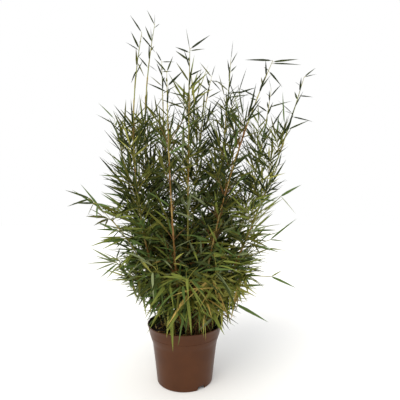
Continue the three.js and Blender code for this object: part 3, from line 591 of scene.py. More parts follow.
RED_TWIG = stem_material("twig_rust", srgb(128, 96, 52), srgb(96, 66, 34))
SHEATH = stem_material("sheath_papery", srgb(172, 158, 100), srgb(130, 112, 62), 0.65)
RUSTY_SHEATH = stem_material("sheath_rusty", srgb(146, 108, 66), srgb(104, 72, 40), 0.65)
LITTER = stem_material("litter_straw", srgb(136, 102, 62), srgb(88, 60, 34), 0.75)


# ---- meshes ----
def make_mesh(name, corners, faces, materials, tones=None, uvs=None, smooth=True):
    """A mesh from corners in millimetres and faces of three or four of them."""
    mesh = bpy.data.meshes.new(name)
    mesh.from_pydata((np.asarray(corners) * MM).tolist(), [], faces)
    for material in materials:
        mesh.materials.append(material)
    if tones is not None:
        mesh.polygons.foreach_set("material_index", np.asarray(tones, np.int32))
    if uvs is not None:
        layer = mesh.uv_layers.new(name="UVMap")
        index = np.zeros(len(mesh.loops), np.int32)
        mesh.loops.foreach_get("vertex_index", index)
        layer.data.foreach_set("uv", np.asarray(uvs, np.float32)[index].ravel())
    mesh.polygons.foreach_set("use_smooth", np.full(len(mesh.polygons), smooth))
    mesh.validate()
    mesh.update()
    piece = bpy.data.objects.new(name, mesh)
    bpy.context.scene.collection.objects.link(piece)
    return piece


def settle(piece, slot, *nodes):
    """Ties a finished piece to the part's one body and hides the nodes it stands for; slot is not
    used.
    """
    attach(piece, "root")
    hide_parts(*nodes)


def band(a, b, sides):
    """Faces between two rings of corners, which start at corners a and b."""
    return [(a + j, a + (j + 1) % sides, b + (j + 1) % sides, b + j) for j in range(sides)]


def rows_of_bands(rows, sides, start=0):
    """Faces that join rows of corners, each a ring, from corner start on."""
    return [face for row in range(rows - 1)
            for face in band(start + row * sides, start + (row + 1) * sides, sides)]


def turned_over(faces):
    return [(a, d, c, b) for a, b, c, d in faces]


# ---- pot ----
def pot_wall(height):
    """Outside radius of the pot's wall at a height."""
    rows = [(0, BASE_RADIUS - BASE_BEVEL), (BASE_BEVEL, BASE_RADIUS),
            (WAIST_HEIGHT, WAIST_RADIUS), (NECK_HEIGHT, NECK_RADIUS),
            (COLLAR_FOOT_HEIGHT, COLLAR_FOOT_RADIUS), (POT_HEIGHT, RIM_RADIUS)]
    return float(np.interp(height, [z for z, _ in rows], [r for _, r in rows]))


def pot_inside(height):
    return pot_wall(height) - WALL


def pot_profiles():
    """Rows (radius, height) up the outside and down the inside, and along the underside."""
    line = COLLAR_LINE_HEIGHT
    ledge = FOOT_RING_HEIGHT + FLOOR
    outer = [(pot_wall(z), z) for z in
             (0, 0.6, BASE_BEVEL, 3.2, 8, 12, 30, WAIST_HEIGHT, 90)]
    # the neck swells a little, the collar steps out over it, and a groove runs round it
    outer += [(pot_wall(z) + out, z) for z, out in (
        (112, 0.1), (118, 0.3), (NECK_HEIGHT, 0.7), (126.5, 0.1), (COLLAR_FOOT_HEIGHT, -0.5),
        (136, -0.3), (line - 1.3, -0.1), (line - 0.5, -0.9), (line, -0.8),
        (line + 0.5, 0.5), (line + 2, 0.4), (160, 0.1), (171, 0.1))]
    # the rolled rim
    outer += [(RIM_RADIUS + out, POT_HEIGHT - down) for out, down in (
        (0.2, 2.4), (0.3, 1.4), (0, 0.5), (-0.7, 0))]
    inner = [(pot_inside(POT_HEIGHT) + 0.7, POT_HEIGHT),
             (pot_inside(POT_HEIGHT), POT_HEIGHT - 0.6)]
    inner += [(pot_inside(z), z) for z in
              (160, COLLAR_FOOT_HEIGHT, NECK_HEIGHT, WAIST_HEIGHT, ledge)]
    hub = [(0.01, 0), (HUB_RADIUS, 0), (HUB_RADIUS + 1, 1), (HUB_RADIUS + 4, FOOT_RING_HEIGHT)]
    foot = [(pot_inside(FOOT_RING_HEIGHT) - 1, FOOT_RING_HEIGHT), (pot_inside(8), 8),
            (pot_inside(1), 1), (pot_inside(0) + 0.4, 0)]
    return outer, inner + [(0.01, ledge)], hub + foot


def pot_bearings():
    """Even bearings round the pot, moved to fall on the notches' edges, and the cut ones."""
    half = math.degrees(math.asin(NOTCH_WIDTH / 2 / BASE_RADIUS))
    bearings = np.arange(0, 360, POT_STEP)
    for notch in NOTCH_BEARINGS:
        away = (bearings - notch + 180) % 360 - 180
        bearings = bearings[abs(abs(away) - half) > 0.7 * POT_STEP]
        edges = [notch + side * (half + out) for side in (-1, 1) for out in (-0.15, 0.15)]
        bearings = np.append(bearings, np.array(edges) % 360)
    bearings = np.sort(bearings)
    cut = np.zeros(len(bearings), bool)
    for notch in NOTCH_BEARINGS:
        cut |= abs((bearings - notch + 180) % 360 - 180) < half
    return np.radians(bearings), cut


def make_pot():
    """The pot's shell, with a rolled rim, a stepped collar, foot ring and two notches."""
    outer, inner, underside = pot_profiles()
    angle, cut = pot_bearings()
    rows, sides = outer + inner + underside, len(angle)
    corners = []
    for r, z in rows:
        low = np.where(cut & (r > HUB_RADIUS + 8), max(z, NOTCH_HEIGHT), z)
        corners.append(np.stack([r * np.cos(angle), r * np.sin(angle), low], 1))
    upper = len(outer) + len(inner)
    faces = rows_of_bands(upper, sides)
    faces += rows_of_bands(len(underside), sides, upper * sides)
    faces += band((len(rows) - 1) * sides, 0, sides)
    # the inside wall takes the near-black material, which is painted shade
    painted_shade_faces = [len(outer) < face[0] // sides < upper for face in faces]
    pot = make_mesh("pot_shell", np.vstack(corners), faces,
                    [pot_material(), painted_shade_inside_material()], painted_shade_faces)
    clean_up(pot)
    settle(pot, "pot", "pot")


def clean_up(piece):
    """Merges corners that meet, drops faces that closed up, and keeps crisp edges crisp."""
    work = bmesh.new()
    work.from_mesh(piece.data)
    bmesh.ops.remove_doubles(work, verts=work.verts, dist=MERGE_WITHIN * MM)
    bmesh.ops.dissolve_degenerate(work, edges=work.edges, dist=1e-6)
    bmesh.ops.recalc_face_normals(work, faces=work.faces)
    for edge in work.edges:
        if len(edge.link_faces) == 2:
            edge.smooth = edge.calc_face_angle() < math.radians(CRISP_EDGE)
    work.to_mesh(piece.data)
    work.free()
    piece.data.update()


# ---- soil ----
def make_soil():
    """A closed plug of peat: a crumbly crown in the pot, flat sides and floor."""
    random = np.random.default_rng(SOIL_SEED)
    rings, sides = SOIL_RINGS, SOIL_SIDES
    edge = pot_inside(SOIL_TOP) - CLEAR
    corners = [[0.0, 0.0, float(SOIL_TOP)]]
    waves = [(random.uniform(0.05, 0.16, 2) * random.choice([-1, 1], 2),
              random.uniform(0, 6.28), random.uniform(0.3, 0.8)) for _ in range(SOIL_WAVES)]
    for i in range(1, rings + 1):
        r = edge * i / rings
        for j in range(sides):
            a = 2 * math.pi * (j + 0.5 * (i % 2)) / sides
            x, y = r * math.cos(a), r * math.sin(a)
            rough = sum(h * math.sin(x * k[0] + y * k[1] + p) for k, p, h in waves)
            rough += random.uniform(-CRUMBS, CRUMBS)
            hold = min(1, (edge - r) / 6)
            corners.append([x, y, SOIL_TOP - 1.2 + rough * hold])
    lower = (COLLAR_FOOT_HEIGHT, NECK_HEIGHT, FOOT_RING_HEIGHT + FLOOR + CLEAR)
    for z in lower:
        r = pot_inside(z) - CLEAR
        for j in range(sides):
            a = 2 * math.pi * (j + 0.5 * (rings % 2)) / sides
            corners.append([r * math.cos(a), r * math.sin(a), z])
    corners.append([0.0, 0.0, float(lower[-1])])
    rows = rings + len(lower)
    last = 1 + (rows - 1) * sides
    faces = [(0, 1 + j, 1 + (j + 1) % sides) for j in range(sides)]
    faces += turned_over(rows_of_bands(rows, sides, 1))
    faces += [(last + (j + 1) % sides, last + j, len(corners) - 1) for j in range(sides)]
    soil = make_mesh("soil_peat_plug", corners, faces, [soil_material()], smooth=False)
    settle(soil, "soil", "soil")


# ---- cane lines ----
class CaneLine:
    """The line of one cane: straight runs between its nodes, carried on beyond its tip."""

    def __init__(self, name):
        foot, bearing, self.lean, self.length, self.thick, self.bare = CANES[name]
        self.name = name
        self.bearing = bearing
        self.out = toward(bearing)
        self.side = np.cross(UP, self.out)
        self.runs = max(4, round(self.length / INTERNODE))
        self.run = self.length / self.runs
        start = toward(foot[1]) * foot[0]
        start[2] = SOIL_TOP + CLEAR
        points = [start]
        for i in range(self.runs):
            points.append(points[-1] + self.heading((i + 0.5) * self.run) * self.run)
        points.append(points[-1] + self.heading(self.length) * STRAIGHT_BEYOND)
        self.points = np.array(points)
        phase = (list(CANES).index(name) * GOLDEN) % 1
        self.nodes = [(i + 0.4 + 0.6 * phase) * self.run for i in range(self.runs)]

    def heading(self, t):
        lean = math.radians(mix(*self.lean, min(1, t / self.length)))
        return self.out * math.sin(lean) + UP * math.cos(lean)

    def at(self, t):
        i = min(self.runs, max(0, int(t / self.run)))
        last = i == self.runs
        rest = (t - self.length) / STRAIGHT_BEYOND if last else t / self.run - i
        return mix(self.points[i], self.points[i + 1], rest)

    def radius(self, t):
        share = min(1, max(0, t / self.length))
        return self.thick / 2 * mix(1, CANE_TIP_SHARE, share)


LINES = {name: CaneLine(name) for name in CANES}


# ---- canes ----
def pick_tone(random, **weights):
    """One name, drawn by weight."""
    at = random() * sum(weights.values())
    for name, weight in weights.items():
        at -= weight
        if at < 0:
            break
    return name


def cane_stations(line):
    """(place along the cane, swell, internode) of each ring of corners of a cane."""
    stations = [(-6.0, 1.0, 0)]
    for i, node in enumerate(line.nodes):
        if node > line.length - 12:
            break
        stations += [(node + away, swell, i) for away, swell in NODE_RELIEF]
    return stations + [(line.length, 0.8, line.runs - 1)]


def make_cane(line, number):
    """A cane with its ringed nodes, its tone dealt out by internode."""
    random = Seeded(SEED + 31 * number + 5)
    red = line.name in RED_CANES
    names = list(CANE_TONES)
    thirds = RED_INTERNODES if red else INTERNODES
    kinds = [names.index(pick_tone(random, **thirds[3 * i // line.runs]))
             for i in range(line.runs)]
    stations = cane_stations(line)
    corners = []
    for t, swell, _ in stations:
        centre = line.at(max(0, t)) + line.heading(0) * min(0, t)
        first = unit(np.cross(line.side, line.heading(t)))
        thin = 1 if t < line.bare * line.length else mix(
            1, END_THIN, (t / line.length - line.bare) / (1 - line.bare))
        radius = line.radius(t) * swell * thin
        for j in range(CANE_SIDES):
            angle = 2 * math.pi * j / CANE_SIDES
            ray = first * math.cos(angle) + line.side * math.sin(angle)
            corners.append(centre + ray * radius)
    faces = rows_of_bands(len(stations), CANE_SIDES)
    tones = [kinds[internode] for *_, internode in stations[:-1] for _ in range(CANE_SIDES)]
    top = (len(stations) - 1) * CANE_SIDES
    faces.append(tuple(range(CANE_SIDES))[::-1])
    faces.append(tuple(range(top, top + CANE_SIDES)))
    tones += [kinds[0], kinds[-1]]
    cane = make_mesh(f"culm_{line.name}", corners, faces,
                     [CANE_TONES[name] for name in names], tones)
    settle(cane, "red_cane" if red else "cane", f"cane_{line.name}")


# ---- sheaths, dry stems and litter ----
def make_sheaths():
    """Papery sheaths that wrap the lower part of some internodes and end in a point."""
    random = Seeded(SEED + 5)
    corners, faces, tones = [], [], []
    for line in LINES.values():
        rusty = RED_RUSTY_SHEATHS if line.name in RED_CANES else RUSTY_SHEATHS
        for node in line.nodes[:-1]:
            if random() > SHEATHED or node > SHEATH_TOP * line.length:
                continue
            height = line.run * random.between(0.4, 0.8)
            facing = random.between(0, 2 * math.pi)
            flare = random.between(0.4, 2.2)
            base = len(corners)
            for row, span in SHEATH_ROWS:
                t = node + 1 + height * row
                first = unit(np.cross(line.side, line.heading(t)))
                radius = line.radius(t) * 1.08 + 0.3 + flare * row ** 3
                for j in range(SHEATH_WRAP):
                    aside = 2 * j / (SHEATH_WRAP - 1) - 1
                    angle = facing + math.radians(SHEATH_SPAN) * span * aside
                    ray = first * math.cos(angle) + line.side * math.sin(angle)
                    corners.append(line.at(t) + ray * radius)
            tone = 1 if random() < rusty else 0
            for row in range(len(SHEATH_ROWS) - 1):
                a, b = base + row * SHEATH_WRAP, base + (row + 1) * SHEATH_WRAP
                faces += [(a + j, a + j + 1, b + j + 1, b + j) for j in range(SHEATH_WRAP - 1)]
                tones += [tone] * (SHEATH_WRAP - 1)
    sheaths = make_mesh("sheaths", corners, faces, [SHEATH, RUSTY_SHEATH], tones)
    settle(sheaths, "cane")


def add_dry_stem(random, stems, scraps):
    """One dead straw stem right of the middle, with up to two withered leaves."""
    x, y = random.between(5, 72), random.between(-74, -18)
    points = [np.array([x, y, SOIL_TOP - 2.0])]
    azimuth = math.radians(random.between(20, 200) - 110)
    rise = math.radians(random.between(48, 84))
    length = random.between(60, 170)
    curl = math.radians(random.between(-20, 30))
    for i in range(TWIG_STEPS - 1):
        heading = direction(azimuth + 0.12 * i, rise - curl * i / (TWIG_STEPS - 1))
        points.append(points[-1] + heading * length / (TWIG_STEPS - 1))
    if np.hypot(points[-1][0], points[-1][1]) > 96 and points[-1][2] < 230:
        return
    stems.add(points, DRY_STEM_RADII, 0)
    for part in (2, 4):
        if random() < 0.6:
            way = direction(random.between(0, 2 * math.pi),
                            math.radians(random.between(-70, -10)))
            tone = pick_tone(random, straw=3, amber=2, brown=4)
            scraps.add(points[part], way, random.between(30, 60), random.between(3, 7),
                       0.15, random.between(-1, 1), 0.8, tone)


def add_scrap(random, scraps):
    """One scrap of leaf that lies on the soil."""
    reach = 92 * math.sqrt(random())
    root = direction(random.between(0, 2 * math.pi), 0) * reach
    root[2] = SOIL_TOP + random.between(1, 4)
    way = direction(random.between(0, 2 * math.pi), math.radians(random.between(-3, 8)))
    tone = pick_tone(random, straw=2, amber=1, brown=5)
    scraps.add(root, way, random.between(14, 42), random.between(2, 6), 0.0,
               random.between(-0.5, 0.5), 0.5, tone)


def make_dry_growth():
    """Dead stems, and scraps of straw and leaf on the soil, rooted inside the rim."""
    random = Seeded(SEED + 6)
    stems, scraps = Tubes(), Leaves()
    for _ in range(DRY_STEMS):
        add_dry_stem(random, stems, scraps)
    for _ in range(SCRAPS):
        add_scrap(random, scraps)
    fits = [math.hypot(row[0] + row[3] * row[6], row[1] + row[4] * row[6]) < 104
            and row[2] + row[5] * row[6] * 1.2 > SOIL_TOP - 2 for row in scraps.rows]
    scraps.keep(fits)
    settle(stems.build("dry_stems", [LITTER]), "cane")
    settle(scraps.build("dry_scraps"), "lower_leaf")


# ---- twigs and leaves, gathered as lists and built as joined meshes ----
class Tubes:
    """Twigs as thin four-sided tubes, all with the same number of points."""

    SIDES = 4

    def __init__(self):
        self.lines, self.radii, self.tones, self.parents = [], [], [], []

    def add(self, points, radii, tone, parent=-1):
        self.lines.append(points)
        self.radii.append(radii)
        self.tones.append(tone)
        self.parents.append(parent)
        return len(self.lines) - 1

    def keep(self, used):
        """Keeps the twigs that carry a leaf, and those that carry such twigs."""
        wanted = set()
        for number in used:
            while number >= 0 and number not in wanted:
                wanted.add(number)
                number = self.parents[number]
        order = sorted(wanted)
        self.lines, self.radii, self.tones = (
            [values[i] for i in order] for values in (self.lines, self.radii, self.tones))

    def build(self, name, materials):
        lines, radii = np.array(self.lines), np.array(self.radii)
        count, steps = radii.shape
        along = np.gradient(lines, axis=1)
        along /= np.linalg.norm(along, axis=2, keepdims=True)
        first = np.cross(along, [0.31, 0.17, 0.93])
        first /= np.linalg.norm(first, axis=2, keepdims=True)
        second = np.cross(along, first)
        angles = 2 * np.pi * np.arange(self.SIDES) / self.SIDES
        rays = (first[:, :, None] * np.cos(angles)[:, None]
                + second[:, :, None] * np.sin(angles)[:, None])
        corners = (lines[:, :, None] + rays * radii[:, :, None, None]).reshape(-1, 3)
        faces, tones = [], []
        for i in range(count):
            base = i * steps * self.SIDES
            top = base + (steps - 1) * self.SIDES
            faces += rows_of_bands(steps, self.SIDES, base)
            faces.append(tuple(range(base, base + self.SIDES))[::-1])
            faces.append(tuple(range(top, top + self.SIDES)))
            tones += [self.tones[i]] * ((steps - 1) * self.SIDES + 2)
        return make_mesh(name, corners, faces, materials, tones)


class Leaves:
    """Leaves as folded blades of a few faces, in their own outline."""

    STATIONS = np.array([0, 0.09, 0.33, 0.66, 1.0])
    WIDTHS = np.array([0.08, 0.74, 1.0, 0.6, 0.0])
    FOLD = 0.22

    def __init__(self):
        self.rows, self.tones, self.owners, self.strays = [], [], [], []

    def add(self, root, heading, length, width, droop, roll, twist, tone, owner=-1,
            stray=False):
        self.rows.append([*root, *heading, length, width, droop, roll, twist])
        self.tones.append(TONE_NAMES.index(tone))
        self.owners.append(owner)
        self.strays.append(stray)

    def keep(self, fits):
        self.rows, self.tones, self.owners, self.strays = (
            [value for value, ok in zip(values, fits) if ok]
            for values in (self.rows, self.tones, self.owners, self.strays))

    def arrays(self):
        """Corner places, one block of left, middle and right points for each station."""
        rows = np.array(self.rows)
        root, heading = rows[:, 0:3], rows[:, 3:6]
        length, width, droop, roll, twist = (rows[:, k] for k in range(6, 11))
        across = np.cross(heading, UP)
        size = np.linalg.norm(across, axis=1)
        across[size < UPRIGHT] = [1, 0, 0]
        across /= np.linalg.norm(across, axis=1, keepdims=True)
        face = np.cross(across, heading)
        face /= np.linalg.norm(face, axis=1, keepdims=True)
        places = []
        for share, wide in zip(self.STATIONS, self.WIDTHS):
            turn = roll + twist * share
            side = across * np.cos(turn)[:, None] - face * np.sin(turn)[:, None]
            normal = across * np.sin(turn)[:, None] + face * np.cos(turn)[:, None]
            centre = root + heading * (share * length)[:, None]
            centre[:, 2] -= droop * length * share * share
            half = (width / 2 * wide)[:, None]
            places.append(np.stack([centre + side * half + normal * half * self.FOLD,
                                    centre - normal * half * self.FOLD,
                                    centre - side * half + normal * half * self.FOLD], 1))
        return np.stack(places, 1)

    def build(self, name):
        places = self.arrays()
        count, steps = len(places), len(self.STATIONS)
        corners = places[:, :-1].reshape(count, -1, 3)
        block = np.concatenate([corners, places[:, -1, 1][:, None]], 1)
        size = block.shape[1]
        tip = size - 1
        pattern = []
        for a in range(0, tip - 3, 3):
            b = a + 3
            pattern += [(a, a + 1, b + 1, b), (a + 1, a + 2, b + 2, b + 1)]
        pattern += [(tip - 3, tip - 2, tip), (tip - 2, tip - 1, tip)]
        faces, tones = [], []
        for i in range(count):
            faces += [tuple(i * size + k for k in face) for face in pattern]
            tones += [self.tones[i]] * len(pattern)
        share = [s for s in self.STATIONS[:-1] for _ in range(3)] + [1.0]
        side = [0.0, 0.5, 1.0] * (steps - 1) + [0.5]
        uvs = np.tile(np.stack([side, share], 1), (count, 1))
        piece = make_mesh(name, block.reshape(-1, 3), faces, LEAVES, tones, uvs)
        # the midrib is a crisp fold
        mesh = piece.data
        pairs = np.zeros(len(mesh.edges) * 2, np.int32)
        mesh.edges.foreach_get("vertices", pairs)
        inside = pairs.reshape(-1, 2) % size
        middle = ((inside % 3 == 1) & (inside < tip)) | (inside == tip)
        sharp = mesh.attributes.new("sharp_edge", "BOOLEAN", "EDGE")
        sharp.data.foreach_set("value", middle.all(1))
        return piece


# ---- growing ----
def crown_share(x, y, z):
    """How far out a place is, as a share of the crown's reach at its height."""
    heights, left, right, depth = zip(*CROWN_REACH)
    wide = np.where(x < 0, np.interp(z, heights, left), np.interp(z, heights, right))
    return np.hypot(x / wide, y / np.interp(z, heights, depth))


def mix_at(place, random, skirt):
    """Which of the TONE_MIXES a spray takes its tone from, by where it grows."""
    x, y, height = place
    outer = math.hypot(x, y)
    if height < 460 and outer < 100 and random() < 0.14:
        return "withered"
    if height < 330 and 5 < x < 120 and y < -40 and random() < 0.26:
        return "dry_front"
    if height < 480 and outer < 105 and random() < 0.52:
        return "shade"
    # sprays on top of the skirt take darker tones, painted shade
    if skirt and height > 340 and outer < 190:
        return "shaded_skirt_top"
    if skirt:
        return "skirt_right" if x > 60 else "skirt"
    if height < 560 and outer > 180:
        return "low_rim"
    if height < 480:
        return "low"
    return "core" if height < 800 and outer < 110 else "top"


def tone_for(place, random, skirt):
    return pick_tone(random, **TONE_MIXES[mix_at(place, random, skirt)])


class Grower:
    """Grows one mass of twigs and leaves in the manner of one style."""

    def __init__(self, style_name, random, red, twigs, leaves):
        self.style = STYLES[style_name]
        self.skirt = style_name == "skirt"
        self.random = random
        self.red = red
        self.twigs = twigs
        self.leaves = leaves
        self.share = 0.0

    def styled(self, kind):
        """A value of the style at the present share of the way up the mass."""
        foot, head = (row[KINDS.index(kind)] for row in self.style)
        if isinstance(foot, tuple):
            return mix(self.random.between(*foot), self.random.between(*head), self.share)
        return mix(foot, head, self.share)

    def leaf(self, place, heading, blade, tone, owner):
        random = self.random
        own = tone if random() < SPRAY_TONE else tone_for(place, random, self.skirt)
        heading = unit(heading - UP * self.styled("hang") * random.between(*VARIED_HANG))
        self.leaves.add(place, heading, blade,
                        self.styled("width") * random.between(*VARIED_WIDTH),
                        self.styled("droop") * random.between(*VARIED_DROOP),
                        random.angle(SKIRT_ROLL if self.skirt else LEAF_ROLL),
                        random.angle(LEAF_TWIST), own, owner)

    def arc(self, root, azimuth, rise, length):
        """The points of a twig that arches over, and the headings of its runs."""
        bend = math.radians(self.styled("bend"))
        points, headings = [root], []
        for i in range(TWIG_STEPS - 1):
            part = (i + 0.5) / (TWIG_STEPS - 1)
            headings.append(direction(azimuth + self.random.angle(TWIG_WOBBLE),
                                      rise + bend * (0.5 - part)))
            points.append(points[-1] + headings[-1] * length / (TWIG_STEPS - 1))
        return points, headings

    def twig(self, root, azimuth, rise, length, blade, parent=-1):
        """A twig with alternate leaves, one at its end and, if it is long, finer twigs."""
        points, headings = self.arc(root, azimuth, rise, length)

        def at(part):
            place = part * (TWIG_STEPS - 1)
            i = min(TWIG_STEPS - 2, int(place))
            return mix(points[i], points[i + 1], place - i), headings[i]

        thick = TWIG_LEAST + length / TWIG_SLENDER
        radii = [mix(thick, TWIG_TIP, part) for part in TWIG_SHARES]
        own = self.twigs.add(points, radii, 1 if self.red else 0, parent)
        tone = tone_for(points[-1], self.random, self.skirt)
        lay = self.random.angle(TWIG_LAY)
        hand = self.dress(at, length, blade, lay, tone, own)
        if parent < 0 and length > FORKED and self.share < FORKED_MASS:
            self.fork(at, length, blade, lay, hand, own)

    def dress(self, at, length, blade, lay, tone, own):
        """Leaves on alternate sides of a twig from its end down, and one at its end."""
        random = self.random
        hand = 1 if random() < 0.5 else -1
        count = max(1, round(length * LEAFY / self.styled("gap")))
        for j in range(count):
            place, heading = at(mix(*LEAF_PARTS, (j + random.between(0.1, 0.5)) / count))
            aside = math.radians(self.styled("spread")) * hand
            lift = random.angle(14)
            self.leaf(place, turned(heading, aside, lift, lay),
                      blade * random.between(*VARIED_BLADE), tone, own)
            hand = -hand
        end, heading = at(1)
        self.leaf(end, turned(heading, random.angle(10), random.angle(10), lay), blade, tone, own)
        return hand

    def fork(self, at, length, blade, lay, hand, own):
        """Finer twigs on alternate sides of a twig."""
        for part in TWO_FORKS if length > TWICE_FORKED else ONE_FORK:
            place, heading = at(part)
            aside = math.radians(self.random.between(*FORK_ASIDE)) * hand
            way = turned(heading, aside, self.random.angle(14), lay)
            hand = -hand
            self.twig(place, math.atan2(way[1], way[0]), math.asin(way[2]),
                      length * (1 - part) * FORK_SHARE, blade * 0.92, own)

    def bundle(self, root, azimuth, share):
        """One of the twigs that rise at a node."""
        self.share = share
        blade = self.styled("blade")
        rise = math.radians(self.styled("rise"))
        reach = self.styled("reach") * mix(*REACH_BY_RISE, math.sin(rise))
        length = max(SHORTEST_TWIG, reach - blade)
        end = root + direction(azimuth, rise) * (length + blade)
        beyond = crown_share(*end) - 1
        if beyond > 0:
            length = max(SHORTEST_TWIG, length - beyond * math.hypot(end[0], end[1]))
        self.twig(root, azimuth, rise, length, blade)


def masses_of(cane):
    """(part, style, start, end, number) of each mass on a cane, numbered as in the source."""
    line = LINES[cane]
    if cane in SIDES:
        style, node, to, shift, _ = SIDES[cane]
        number = 2 * list(SIDES).index(cane) + 1
        return [("tip", "top", line.bare * line.length, line.length, number),
                ("side", style, (node - 0.5) * line.run, to * line.length + shift,
                 number + 1)]
    style, _ = SHORTS[cane]
    number = 2 * len(SIDES) + list(SHORTS).index(cane) + 1
    return [("tip", style, line.bare * line.length, line.length, number)]


def grow_mass(cane, part, style, start, end, number, twigs, leaves):
    """A mass of twigs in bundles at the cane's nodes, turned on by the golden share."""
    line = LINES[cane]
    full = (SIDES if cane in SIDES else SHORTS)[cane][-1]
    random = Seeded(SEED + number * 7919)
    grower = Grower(style, random, cane in RED_CANES, twigs, leaves)
    turn = random()
    if part == "side":
        crowds = [(t, full) for t in line.nodes if start <= t <= end]
        crowds.append((end, full * (end - crowds[-1][0]) / line.run))
    elif style == "top" and cane in LONE_LEAVES:
        crowds = []
    else:
        count = max(1, round((end - start) / TIP_STEP))
        crowds = [(mix(start, end, (i + 0.5) / count), full) for i in range(count)]
    for t, crowd in crowds:
        share = (t - start) / (end - start)
        grower.share = share
        bundle = grower.styled("bundle") * crowd
        for _ in range(max(1, round(bundle * random.between(0.8, 1.2)))):
            turn = (turn + GOLDEN) % 1
            azimuth = math.radians(line.bearing) + (turn - 0.5) * 2 * math.pi
            grower.bundle(line.at(t + random.between(-5, 5)), azimuth, share)


def add_lone_leaves(cane, twigs, leaves):
    """The leaves of a cane that stand clear at its tip or hang over the rim."""
    line = LINES[cane]
    random = Seeded(SEED + 17 * list(LINES).index(cane))
    rows = LONE_LEAVES.get(cane, ())
    if cane in SIDES:
        rows += DEPTH_LEAVES
    for share, azimuth, rise, length, width in rows:
        root = line.at(share * line.length)
        heading = toward(azimuth, rise)
        stalk = [root + heading * 1.5 * i for i in range(TWIG_STEPS)]
        owner = twigs.add(stalk, [0.6] * TWIG_STEPS, 0)
        tone = pick_tone(random, **LONE_TONES.get(cane, LONE_TONES["tips"]))
        # Across the view a leaf lies edge on unless it is rolled; toward it, it lies open.
        roll = mix(*LONE_ROLL, abs(math.cos(math.radians(azimuth)))) + random.between(-14, 14)
        roll *= 1 if random() < 0.5 else -1
        leaves.add(stalk[-2], heading, length, LONE_SLIM * width, 0.03, math.radians(roll),
                   random.angle(25), tone, owner, True)


def add_strays(canes, twigs, leaves):
    """The shoots that stray out of the crown on its right."""
    random = Seeded(SEED + 99)
    for cane, share, azimuth, rise, length, ends in STRAYS:
        if cane not in canes:
            continue
        points = [LINES[cane].at(share * LINES[cane].length)]
        for i in range(TWIG_STEPS - 1):
            heading = toward(azimuth, rise + STRAY_BEND * (0.5 - TWIG_SHARES[i]))
            points.append(points[-1] + heading * length / (TWIG_STEPS - 1))
        owner = twigs.add(points, [mix(*STRAY_RADII, part) for part in TWIG_SHARES], 0)
        for way, lift, blade, width in ends:
            tone = pick_tone(random, green=3, fresh=2, olive=2)
            leaves.add(points[-1], toward(way, lift), blade, width, 0.04,
                       random.angle(60), 0.3, tone, owner, True)


# ---- where leaves fit ----
def from_front(places):
    """Places as they line up from the front, in millimetres at the pot's axis."""
    depth = (places[..., 1] - CAMERA_PLACE[1]) / -CAMERA_PLACE[1]
    return np.stack([(places[..., 0] - CAMERA_PLACE[0]) / depth,
                     (places[..., 2] - CAMERA_PLACE[2]) / depth], -1)


def hides_a_cane(middles):
    """Which leaves lie across the front of a cane that should show."""
    steps = [mix(middles[:, :-1], middles[:, 1:], part) for part in (0, 0.34, 0.67)]
    points = np.concatenate(steps, 1)
    seen = from_front(points)
    hides = np.zeros(len(points), bool)
    for name, (low, high) in SHOWN_CANES.items():
        ends = LINES[name].points
        for a, b in zip(ends[:-1], ends[1:]):
            if a[2] < low or b[2] > high:
                continue
            start, way = from_front(a), from_front(b) - from_front(a)
            along = np.clip((seen - start) @ way / (way @ way), 0, 1)
            gap = np.linalg.norm(seen - start - along[..., None] * way, axis=-1)
            ahead = points[..., 1] < a[1] + along * (b[1] - a[1])
            hides |= ((gap < SHOWN_CLEAR) & ahead).any(1)
    return hides


def clear_of_canes(points):
    """Which leaves, as rows of points, keep clear of every cane."""
    far = points.reshape(-1, 3)
    near = np.full(len(far), np.inf)
    for line in LINES.values():
        for i in range(line.runs):
            a, b = line.points[i], line.points[i + 1]
            d = b - a
            t = np.clip((far - a) @ d / (d @ d), 0, 1)
            gap = np.linalg.norm(far - a - t[:, None] * d, axis=1)
            near = np.minimum(near, gap - line.radius(i * line.run))
    return (near.reshape(len(points), -1) > CANE_CLEAR).all(1)


def leaf_fits(leaves):
    """Which leaves keep clear of the pot, the soil and the canes, and within the crown."""
    places = leaves.arrays()
    centres = places[:, 1:, 1]
    x, y, z = centres[..., 0], centres[..., 1], centres[..., 2]
    out = np.hypot(x, y)
    past = out > RIM_RADIUS - RIM_BAND[0]
    over_rim = (z < POT_HEIGHT + LEAF_ABOVE) & past & (out < RIM_RADIUS + RIM_BAND[1])
    in_wall = (z < POT_HEIGHT) & past & (out < LEAF_BESIDE + np.interp(
        z, [0, NECK_HEIGHT, POT_HEIGHT], [BASE_RADIUS, NECK_RADIUS, RIM_RADIUS]))
    in_soil = (z < SOIL_TOP + LEAF_ABOVE) & (out < RIM_RADIUS)
    beyond = (crown_share(x, y, z) > 1) & ~np.array(leaves.strays)[:, None]
    fits = ~(over_rim | in_wall | in_soil | beyond).any(1)
    fits &= (z > LOWEST_LEAF).all(1)
    fits &= ((centres > CROWN_BOX[0]) & (centres < CROWN_BOX[1])).all((1, 2))
    fits &= clear_of_canes(centres[:, 1:])
    chances = np.random.default_rng(SEED).random(len(fits))
    return fits & ~(hides_a_cane(places[:, :, 1]) & (chances < SHOWN_CHANCE))


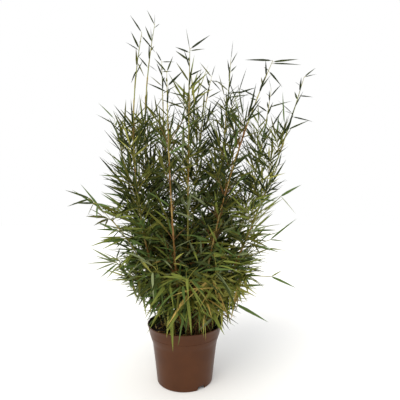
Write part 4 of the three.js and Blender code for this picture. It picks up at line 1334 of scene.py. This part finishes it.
def make_foliage():
    for group, canes in GROUPS.items():
        twigs, leaves = Tubes(), Leaves()
        nodes = []
        for cane in canes:
            for part, style, start, end, number in masses_of(cane):
                grow_mass(cane, part, style, start, end, number, twigs, leaves)
                nodes.append(f"foliage_{cane}_{part}")
            add_lone_leaves(cane, twigs, leaves)
        add_strays(canes, twigs, leaves)
        leaves.keep(leaf_fits(leaves))
        twigs.keep(set(leaves.owners))
        slot = "lower_leaf" if group == "skirt" else "leaf"
        settle(leaves.build(f"leaves_{group}"), slot, *nodes)
        settle(twigs.build(f"twigs_{group}", [TWIG, RED_TWIG]), slot, *nodes)


# ---- floor, light and camera ----
def add_to_scene(name, data):
    holder = bpy.data.objects.new(name, data)
    bpy.context.scene.collection.objects.link(holder)
    return holder


def make_floor():
    """A wide pale floor that only the render sees."""
    mesh = bpy.data.meshes.new("floor")
    size = FLOOR_REACH * MM
    mesh.from_pydata([(-size, -size, 0), (size, -size, 0), (size, size, 0), (-size, size, 0)],
                     [], [(0, 1, 2, 3)])
    floor = add_to_scene("floor", mesh)
    pale = new_material("floor_pale", srgb(246, 246, 246), 0.9, 0.1)
    nodes = Nodes(pale)
    nodes.roughen(nodes.noise(nodes.place("Object"), 3), 0.86, 0.94)
    mesh.materials.append(pale)


def light_up():
    """A white sky, and a warm soft sun from the front left."""
    world = bpy.data.worlds.new("studio")
    bpy.context.scene.world = world
    world.use_nodes = True
    sky = world.node_tree.nodes["Background"]
    sky.inputs["Color"].default_value = (1, 1, 1, 1)
    sky.inputs["Strength"].default_value = SKY_STRENGTH
    key = bpy.data.lights.new("key", "SUN")
    key.energy = KEY_STRENGTH
    key.color = KEY_COLOUR
    key.angle = math.radians(KEY_SPREAD)
    holder = add_to_scene("key", key)
    holder.rotation_euler = (-Vector(KEY_FROM)).to_track_quat("-Z", "Y").to_euler()


def set_camera():
    """The photo's camera: level, in front of the pot and a little to its right."""
    camera = bpy.data.cameras.new("camera")
    camera.lens = LENS
    camera.sensor_width = SENSOR
    holder = add_to_scene("camera", camera)
    holder.location = [c * MM for c in CAMERA_PLACE]
    holder.rotation_euler = (math.pi / 2, 0, 0)
    bpy.context.scene.camera = holder
    bpy.context.scene.view_settings.view_transform = "Standard"


make_floor()
light_up()
set_camera()
make_pot()
make_soil()
for place, cane_line in enumerate(LINES.values()):
    make_cane(cane_line, place)
make_sheaths()
make_dry_growth()
make_foliage()
